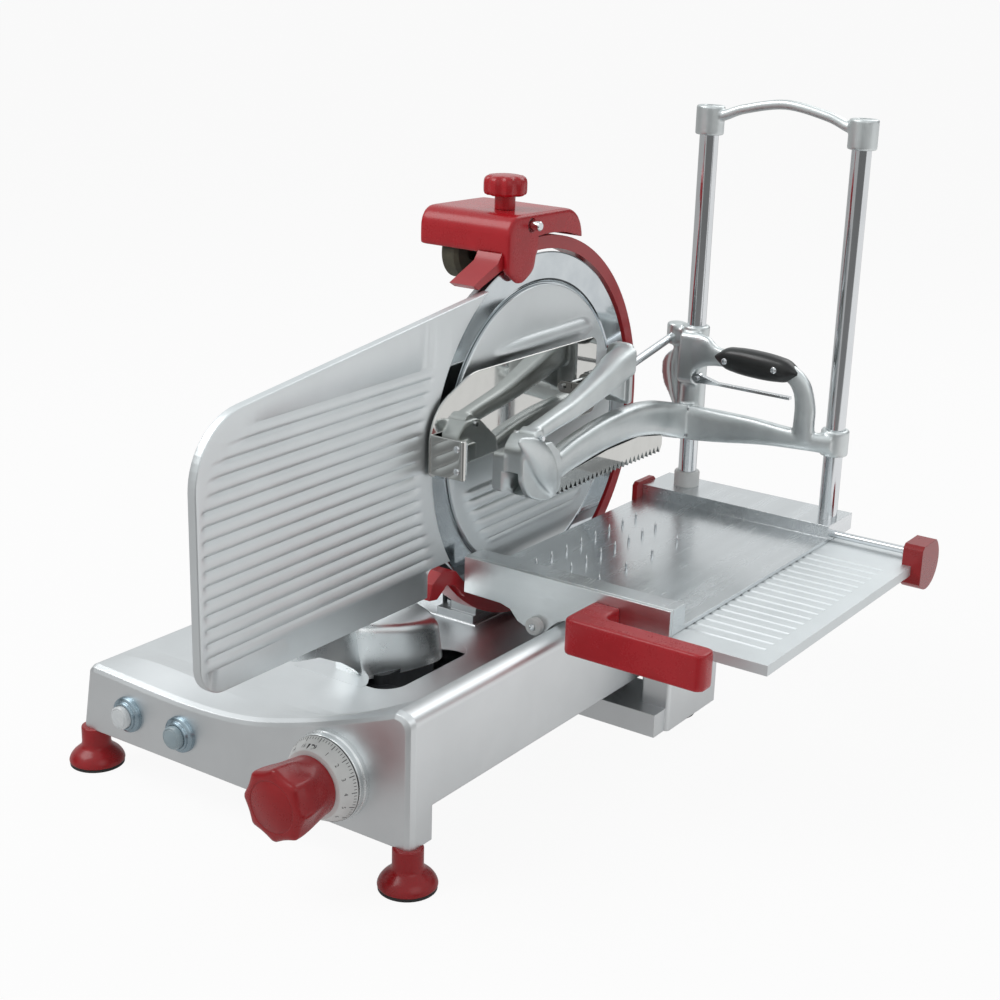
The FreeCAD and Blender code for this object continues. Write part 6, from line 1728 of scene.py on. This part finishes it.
@dataclass
class Press(Piece):
    """Press casting with its grip, lever, claw arm and pusher plate."""

    rod_x: Pair = (-79.0, 93.0)
    rod_y: float = 594.0
    bore_r: float = 10.15
    arm_x: float = -78.0
    claw_pivot: Pair = (276.0, 322.0)

    def build(self) -> None:
        """Cast the frame and the claw arm, fold the pusher plate and dress the rest."""
        self.palette.dress(Surface.CHROME, "release_lever", "pusher_rod", "press_pins")
        self.palette.dress(Surface.MIRROR, "toothed_bar")
        self.frame_casting()
        self.grip()
        self.claw()
        self.pusher()

    def beam(self) -> bmesh.types.BMesh:
        """Sweep the beam from the right rod past the left one and forward over the table.

        Returns:
            A closed bmesh in metres.
        """
        right, x = self.rod_x[1], self.arm_x
        beam = [Station((right + 3.0, 586.0, 279.5), (0, 9.0, 0), (0, 0, 11.0), 2.8),
                Station((right - 18.0, 578.0, 280.0), (0, 7.5, 0), (0, 0, 10.0), 2.8),
                Station((right - 52.0, 575.0, 280.5), (0, 7.5, 0), (0, 0, 11.5), 3.0),
                Station((12.0, 574.0, 280.5), (0, 7.5, 0), (0, 0, 14.0), 3.0),
                Station((-30.0, 572.0, 278.5), (1.0, 8.0, 0), (0, 0, 17.5), 3.0),
                Station((-64.0, 562.0, 279.0), (6.0, 6.5, 0), (0, 0, 19.5), 3.0),
                Station((x - 1.0, 535.0, 285.5), (10.0, 1.5, 0), (0, 0, 19.5), 3.0),
                Station((x, 500.0, 294.0), (10.5, 0, 0), (0, 0, 18.6), 3.0),
                Station((x, 455.0, 298.5), (10.5, 0, 0), (0, 0, 17.6), 3.0),
                Station((x, 400.0, 296.5), (10.5, 0, 0), (0, 0, 16.6), 3.0),
                Station((x, 350.0, 289.5), (10.5, 0, 0), (0, 0, 15.6), 3.0),
                Station((x, 318.0, 283.0), (10.8, 0, 0), (0, 0, 14.5), 3.0),
                Station((x, 290.0, 280.0), (12.0, 0, 0), (0, 0, 17.0), 2.6)]
        return sweep(beam, 6, 32)

    def frame_casting(self) -> None:
        """Sleeve, boss, sweeping beam, jaw, loop handle, wing and clamp, melted into one casting."""
        left, right = self.rod_x
        solids = [self.beam()]
        sleeve = [(0.0, 262.0), (14.0, 262.0), (15.2, 263.4), (15.2, 268.0), (14.2, 272.0), (14.2, 366.0),
                  (14.6, 372.0), (14.6, 378.0), (13.6, 379.2), (0.0, 379.2)]
        solids.append(lathe(sleeve, (left, self.rod_y, 0.0), (0, 0, 1), 64))
        boss = [(0.0, 266.0), (13.8, 266.0), (14.8, 267.2), (14.8, 292.8), (13.8, 294.0), (0.0, 294.0)]
        solids.append(lathe(boss, (right, self.rod_y, 0.0), (0, 0, 1), 64))
        solids += self.jaw() + self.loop() + self.wing()
        root = [(575.0, 264.0), (594.0, 264.0), (594.0, 292.0), (575.0, 294.0)]
        solids.append(slab(root, Side.X, left - 9.0, left + 11.0))
        rod = [(0.0, 240.0), (self.bore_r, 240.0), (self.bore_r, 400.0), (0.0, 400.0)]
        bores = [lathe(rod, (x, self.rod_y, 0.0), (0, 0, 1), 64) for x in self.rod_x]
        y, z = self.claw_pivot
        slot = [(y - 9.5, z - 9.5), (y + 46.0, z - 9.5), (y + 46.0, z + 26.0), (y - 9.5, z + 26.0)]
        bores.append(slab(slot, Side.X, -86.4, -65.6))
        pocket = [(236.0, 291.0), (266.0, 291.0), (286.0, 276.0), (288.0, 264.0), (262.0, 264.0),
                  (236.0, 262.0)]
        bores.append(slab(pocket, Side.X, self.arm_x - 12.0, self.arm_x + 5.0))
        thing = casting("press_cast", solids, 1.5, 5, bores)
        self.settle(thing, Surface.ARM, "press", "press_frame")

    def jaw(self) -> list[bmesh.types.BMesh]:
        """Chunky front jaw: a cored body, a lens-shaped ridge on it and a square lug at its left.

        Returns:
            Closed overlapping solids.
        """
        x = self.arm_x
        side = rounded_path([(316.0, 300.0), (285.0, 326.0), (264.0, 326.0), (251.0, 314.0), (252.0, 284.0),
                             (264.0, 266.0), (285.0, 257.0), (304.0, 255.0), (319.0, 262.0)], 6.0, 4, True)
        body = slab(side, Side.X, x - 13.0, x + 10.5)
        ridge = [Station((x + 9.5, 245.0, 326.0), (1.6, 0, 0), (0, 2.2, 2.4), 2.2),
                 Station((x + 12.0, 262.0, 315.0), (4.6, 0, 0), (0, 7.6, 8.6), 2.2),
                 Station((x + 13.5, 281.0, 296.0), (6.0, 0, 0), (0, 10.6, 11.6), 2.2),
                 Station((x + 12.5, 297.0, 275.0), (5.0, 0, 0), (0, 9.6, 7.0), 2.2),
                 Station((x + 10.0, 306.0, 260.0), (2.0, 0, 0), (0, 3.2, 2.0), 2.2)]
        square = rounded_path([(249.0, 270.0), (268.0, 270.0), (268.0, 308.0), (249.0, 308.0)], 3.0, 3, True)
        return [body, sweep(ridge, 6, 24), slab(square, Side.X, x - 23.0, x - 9.0)]

    def loop(self) -> list[bmesh.types.BMesh]:
        """Loop handle that swoops from the sleeve over the grip and down to the beam.

        Returns:
            Closed overlapping solids.
        """
        y = 575.5
        bar = [Station((-74.0, 582.0, 346.0), (0, 9.0, 0), (1.0, 0, 28.0), 3.0),
               Station((-58.0, 577.0, 354.0), (0, 6.4, 0), (4.0, 0, 18.0), 3.0),
               Station((-44.0, y, 353.0), (0, 5.5, 0), (2.0, 0, 11.0), 3.0),
               Station((-22.0, y, 352.5), (0, 5.5, 0), (0, 0, 9.0), 3.0),
               Station((14.0, y, 353.5), (0, 5.5, 0), (0, 0, 9.0), 3.0),
               Station((42.0, y, 350.0), (0, 5.5, 0), (2.0, 0, 9.5), 3.0),
               Station((58.0, y, 338.0), (0, 6.0, 0), (8.0, 0, 6.5), 3.0),
               Station((64.5, y, 318.0), (0, 6.5, 0), (11.0, 0, 1.0), 3.0),
               Station((65.0, y, 298.0), (0, 6.8, 0), (11.5, 0, 0), 3.0),
               Station((65.0, y, 281.0), (0, 6.8, 0), (12.0, 0, 0), 3.0)]
        tie = rounded_path([(571.0, 320.0), (590.0, 312.0), (594.0, 376.0), (574.0, 372.0)], 5.0, 3, True)
        return [sweep(bar, 6, 28), slab(tie, Side.X, -88.0, -69.0)]

    def wing(self) -> list[bmesh.types.BMesh]:
        """Leaf-shaped wing at the sleeve's left, its vein, and the round clamp at its top.

        Returns:
            Closed overlapping solids.
        """
        y = self.rod_y
        leaf = rounded_path([(-84.0, 364.0), (-92.0, 358.0), (-96.0, 352.0), (-110.0, 346.0), (-117.0, 334.0),
                             (-115.0, 314.0), (-104.0, 296.0), (-96.0, 280.0), (-84.0, 276.0)], 8.0, 4, True)
        vein = [Station((-101.0, y - 5.5, 352.0), (2.0, 0, 0), (0, 2.0, 0.4), 2.0),
                Station((-103.0, y - 6.5, 330.0), (4.0, 0, 0), (0, 3.0, 0), 2.0),
                Station((-98.0, y - 6.0, 300.0), (3.0, 0, 0), (0, 2.5, 0), 2.0),
                Station((-91.0, y - 5.0, 282.0), (1.5, 0, 0), (0, 2.0, 0), 2.0)]
        clamp = [(0.0, 355.0), (9.8, 355.0), (10.8, 356.4), (10.8, 377.0), (9.6, 378.4), (5.0, 379.0),
                 (0.0, 379.0)]
        block = rounded_path([(-104.0, 584.0), (-78.0, 584.0), (-78.0, 600.0), (-104.0, 600.0)], 4.0, 3, True)
        return [slab(leaf, Side.Y, y - 6.0, y + 4.0), sweep(vein, 6, 20),
                lathe(clamp, (-103.0, y, 0.0), (0, 0, 1), 48), slab(block, Side.Z, 357.0, 374.0)]

    def grip(self) -> None:
        """Black spindle-shaped scales on both sides of the loop, with bright screws."""
        mid = (6.5, 575.5, 352.0)
        stations = []
        for i in range(9):
            share = -1.0 + 2.0 * i / 8
            half = math.sqrt(max(0.0, 1.0 - abs(share) ** 2.4))
            centre = (mid[0] + 48.5 * share, mid[1], mid[2] - 2.0 * share)
            stations.append(Station(centre, (0, 5.6 + 6.9 * half, 0), (0, 0, 2.5 + 12.0 * half), 2.5))
        thing = mesh_object("grip_moulded", sweep(stations, 6, 40), 60.0)
        self.settle(thing, Surface.BLACK, "press", "handle_grip")
        head = [(0.0, 561.8), (2.2, 561.9), (3.4, 562.6), (3.6, 563.8), (3.6, 566.0), (0.0, 566.0)]
        screws = joined([lathe(head, (x, 0.0, 352.0), (0, 1, 0), 32) for x in (-27.0, 31.0)])
        self.settle(mesh_object("grip_screws_turned", screws, 40.0), Surface.CHROME, "press", "grip_screws")

    def claw(self) -> None:
        """Tapered tubular arm with a knuckle at its front and a tall pressing face behind."""
        y, z = self.claw_pivot
        x = self.arm_x + 2.0
        arm = [Station((x, y + 2.0, z + 1.0), (8.0, 0, 0), (0, -1.6, 7.8), 3.4),
               Station((x, y + 34.0, z + 7.5), (8.4, 0, 0), (0, -2.0, 8.2), 3.4),
               Station((x, y + 70.0, z + 14.5), (9.4, 0, 0), (0, -2.6, 9.4), 3.6),
               Station((x, y + 118.0, z + 29.0), (11.8, 0, 0), (0, -3.6, 12.2), 3.8),
               Station((x, y + 144.0, z + 38.5), (13.2, 0, 0), (0, -3.4, 14.2), 4.0),
               Station((x, y + 166.0, z + 44.5), (13.8, 0, 0), (0, 0, 15.2), 4.0)]
        knuckle = [(0.0, -86.0), (7.4, -86.0), (8.2, -85.2), (8.2, -66.8), (7.4, -66.0), (0.0, -66.0)]
        face = fillet_path([(x - 22.0, z, 4.0), (x + 8.0, z, 3.0), (x + 8.0, z + 62.0, 6.0),
                            (x - 22.0, z + 62.0, 12.0)], 5)
        gusset = rounded_path([(y + 120.0, z + 22.0), (441.0, z + 2.0), (441.0, z + 40.0)], 4.0, 3, True)
        solids = [sweep(arm, 6, 28), lathe(knuckle, (0.0, y, z), (1, 0, 0), 48),
                  slab(face, Side.Y, 439.5, 446.0), slab(gusset, Side.X, x - 3.0, x + 3.0)]
        bores = [lathe([(0.0, -90.0), (2.6, -90.0), (2.6, -60.0), (0.0, -60.0)], (0.0, y, z), (1, 0, 0), 32)]
        self.settle(casting("claw_cast", solids, 1.1, 4, bores), Surface.ARM, "claw", "claw_arm")

    def pusher(self) -> None:
        """Mirror-bright plate with a curled front flange, its bracket and its hinge ears."""
        x0, x1 = -119.0, -116.6
        outline = fillet_path([(174.0, 296.0, 6.0), (452.0, 304.0, 8.0), (452.0, 383.8, 10.0),
                               (236.0, 383.8, 60.0), (174.0, 356.0, 44.0)], 10)
        plate = slab(outline, Side.X, x0, x1)
        curl = rounded_path([(x0 + 0.2, 192.0), (x0 + 0.2, 174.2), (-80.0, 174.2), (-79.6, 178.6)], 5.0, 5)
        inner = rounded_path([(x0 + 2.4, 192.0), (x0 + 2.4, 176.6), (-82.0, 176.6), (-81.8, 178.6)], 3.0, 5)
        flange = slab(curl + list(reversed(inner)), Side.Z, 300.0, 337.0)
        ears = cad_copy("pusher_plate")
        for place, normal in ((at(x1 + 0.3, 0, 0), (-1, 0, 0)), (at(0, 402.0, 0), (0, -1, 0))):
            trimmed(ears, place, normal)
        thing = bevelled(mesh_object("pusher_folded", joined([plate, flange])), 0.7, 2, 50.0)
        self.settle(thing, Surface.MIRROR, "pusher", "pusher_plate")
        self.settle(mesh_object("pusher_ears", ears), Surface.MIRROR, "pusher")
        bracket = rounded_path([(-91.0, 177.0), (-83.0, 177.0), (-83.0, 186.0), (-91.0, 190.0)], 2.0, 3, True)
        block = mesh_object("pusher_bracket", slab(bracket, Side.Z, 304.0, 333.0))
        self.settle(block, Surface.ARM, "pusher")
        head = [(0.0, 173.0), (2.4, 173.1), (3.2, 173.8), (3.2, 176.0), (0.0, 176.0)]
        screws = joined([lathe(head, (-87.0, 0.0, z), (0, 1, 0), 24) for z in (308.0, 329.0)])
        self.settle(mesh_object("pusher_screws", screws, 40.0), Surface.CHROME, "pusher")


# ---- studio --------------------------------------------------------------------------------------
@dataclass(frozen=True)
class Studio:
    """Floor, soft lamps and the white surroundings, in metres."""

    floor_size: float = 400.0
    floor_tones: tuple[Rgb, Rgb] = ((0.93, 0.93, 0.93), (0.95, 0.95, 0.95))
    floor_grain: float = 30.0
    # Ramps of the floor's glow in reflections, a painted reflection: bright beside the machine, dark at the
    # front right.
    beside: Ramp = (0.08, 0.38, 0.48, 1.0)
    far_right: Ramp = (0.10, 0.25, 0.0, 0.85)
    far_front: Ramp = (-0.45, -0.20, 1.0, 0.0)
    seen_white: float = 0.93
    mirrored_white: float = 0.86
    lamp_size: float = 1.6
    lamp_aim: Point = (0.0, 0.0, 0.25)
    glow: float = 0.30
    strips: tuple[Pair, ...] = ((0.0, 0.55), (0.06, 0.16), (0.10, 0.16), (0.15, 0.70), (0.24, 0.78),
                                (0.36, 0.62), (0.42, 0.18), (0.47, 0.22), (0.52, 0.80), (0.62, 0.72),
                                (0.68, 0.14), (0.73, 0.18), (0.78, 0.80), (0.90, 0.74), (1.0, 0.55))
    strip_tint: Rgb = (0.97, 0.995, 1.0)
    overhead: Rgb = (0.82, 0.85, 0.86)
    overhead_rise: Ramp = (0.28, 0.62, 0.0, 1.0)

    def build(self) -> None:
        """Lay the floor, hang the lamps and paint the surroundings."""
        self.floor()
        self.lamp("Key", (-1.3, -1.2, 2.3), 30.0)
        self.lamp("Fill", (2.1, -0.9, 1.3), 6.0)
        self.lamp("Back", (0.3, 1.9, 2.0), 12.0)
        self.surroundings()

    def floor(self) -> None:
        """Lay a wide pale floor that keeps the shadow and glows in reflections as a painted reflection: bright
        beside the machine, with a dark patch at the front right.
        """
        mesh = bmesh.new()
        bmesh.ops.create_grid(mesh, x_segments=2, y_segments=2, size=self.floor_size / 2)
        floor = mesh_object("floor", mesh)
        material = bpy.data.materials.new("Pale floor")
        material.use_nodes = True
        material.node_tree.nodes.clear()
        wiring = Wiring(material.node_tree)
        path = wiring.add("ShaderNodeLightPath")
        place = wiring.add("ShaderNodeTexCoord").outputs["Object"]
        noise = wiring.add("ShaderNodeTexNoise", {"Vector": place, "Scale": self.floor_grain})
        tone = Finish.mix(wiring, noise.outputs["Fac"], *self.floor_tones)
        matt = wiring.add("ShaderNodeBsdfDiffuse", {"Color": tone})
        spot = wiring.add("ShaderNodeSeparateXYZ", {"Vector": place}).outputs
        # Painted reflection: the floor glows to reflected rays only, brighter beside the machine and dimmer at
        # the front right.
        beside = wiring.span(spot["X"], *self.beside, True)
        far_right = wiring.span(spot["X"], *self.far_right, True)
        far_front = wiring.span(spot["Y"], *self.far_front, True)
        dark = wiring.math("SUBTRACT", 1.0, wiring.math("MULTIPLY", far_right, far_front))
        shown = wiring.math("MULTIPLY", beside, dark)
        level = wiring.math("MAXIMUM", path.outputs["Is Camera Ray"], shown)
        white = wiring.add("ShaderNodeEmission", {"Color": (1.0, 1.0, 1.0, 1.0), "Strength": level})
        mirror = wiring.math("MAXIMUM", path.outputs["Is Glossy Ray"], path.outputs["Is Transmission Ray"])
        seen = wiring.math("MULTIPLY", path.outputs["Is Camera Ray"], self.seen_white)
        share = wiring.math("MAXIMUM", seen, wiring.math("MULTIPLY", mirror, self.mirrored_white))
        blend = wiring.add("ShaderNodeMixShader", {0: share, 1: matt.outputs[0], 2: white.outputs[0]})
        wiring.feed(blend.outputs[0], wiring.add("ShaderNodeOutputMaterial").inputs["Surface"])
        floor.data.materials.append(material)

    def lamp(self, name: str, place: Point, watts: float) -> None:
        """Hang a soft square lamp that faces the machine.

        Args:
            name: The lamp's name.
            place: Where it hangs.
            watts: Its power.
        """
        light = bpy.data.lights.new(name, "AREA")
        light.size = self.lamp_size
        light.energy = watts
        thing = bpy.data.objects.new(name, light)
        thing.location = place
        aim = Vector(self.lamp_aim) - Vector(place)
        thing.rotation_euler = aim.to_track_quat("-Z", "Y").to_euler()
        thing.visible_camera = False
        bpy.context.scene.collection.objects.link(thing)

    def surroundings(self) -> None:
        """Paint the world: white to the eye, soft light, and a studio with dark strips in reflections."""
        world = bpy.data.worlds.new("Studio")
        world.use_nodes = True
        world.node_tree.nodes.clear()
        wiring = Wiring(world.node_tree)
        look = wiring.add("ShaderNodeTexCoord").outputs["Generated"]
        parts = wiring.add("ShaderNodeSeparateXYZ", {"Vector": look}).outputs
        turn = wiring.math("MULTIPLY_ADD", wiring.math("ARCTAN2", parts["Y"], parts["X"]), 0.5 / math.pi, 0.5)
        ramp = wiring.add("ShaderNodeValToRGB", {"Fac": turn})
        elements = ramp.color_ramp.elements
        while len(elements) < len(self.strips):
            elements.new(0.5)
        for element, (place, level) in zip(elements, self.strips):
            element.position = place
            element.color = (*(level * share for share in self.strip_tint), 1.0)
        lift = wiring.span(parts["Z"], *self.overhead_rise, True)
        shown = Finish.mix(wiring, lift, ramp.outputs[0], self.overhead)
        path = wiring.add("ShaderNodeLightPath").outputs
        mirror = wiring.math("MAXIMUM", path["Is Glossy Ray"], path["Is Transmission Ray"])
        glow = wiring.add("ShaderNodeBackground", {"Color": (1.0, 1.0, 1.0, 1.0), "Strength": self.glow})
        seen = wiring.add("ShaderNodeBackground", {"Color": shown, "Strength": 1.0})
        white = wiring.add("ShaderNodeBackground", {"Color": (1.0, 1.0, 1.0, 1.0), "Strength": 1.0})
        first = wiring.add("ShaderNodeMixShader", {0: mirror, 1: glow.outputs[0], 2: seen.outputs[0]})
        last = wiring.add("ShaderNodeMixShader", {0: path["Is Camera Ray"], 1: first.outputs[0],
                                                  2: white.outputs[0]})
        wiring.feed(last.outputs[0], wiring.add("ShaderNodeOutputWorld").inputs["Surface"])
        bpy.context.scene.world = world


@dataclass(frozen=True)
class Eye:
    """Camera in front and to the right of the machine, looking a little down, in metres."""

    place: Point = (0.8613, -1.2366, 0.7474)
    forward: Point = (-0.512, 0.800, -0.313)
    right: Point = (0.834, 0.550, 0.040)
    lens: float = 60.23
    sensor: float = 36.0
    shift: Pair = (-0.0633, 0.0120)

    def build(self) -> None:
        """Make the scene's camera."""
        ahead = Vector(self.forward).normalized()
        right = Vector(self.right)
        right = (right - ahead * right.dot(ahead)).normalized()
        up = right.cross(ahead)
        data = bpy.data.cameras.new("Eye")
        data.lens = self.lens
        data.sensor_width = self.sensor
        data.shift_x, data.shift_y = self.shift
        thing = bpy.data.objects.new("Eye", data)
        turn = Matrix((right, up, -ahead)).transposed().to_4x4()
        thing.matrix_world = Matrix.Translation(Vector(self.place)) @ turn
        bpy.context.scene.collection.objects.link(thing)
        bpy.context.scene.camera = thing


def main() -> None:
    """Build the studio and every sub-assembly in order."""
    logging.basicConfig(level=logging.INFO, format="%(message)s")
    bpy.context.scene.view_settings.view_transform = "Standard"
    palette = Palette()
    Studio().build()
    Eye().build()
    for kind in (Base, Controls, Gauge, BladeGroup, Sharpener, Carriage, Table, Press):
        kind(palette).build()


if __name__ == "__main__":
    main()
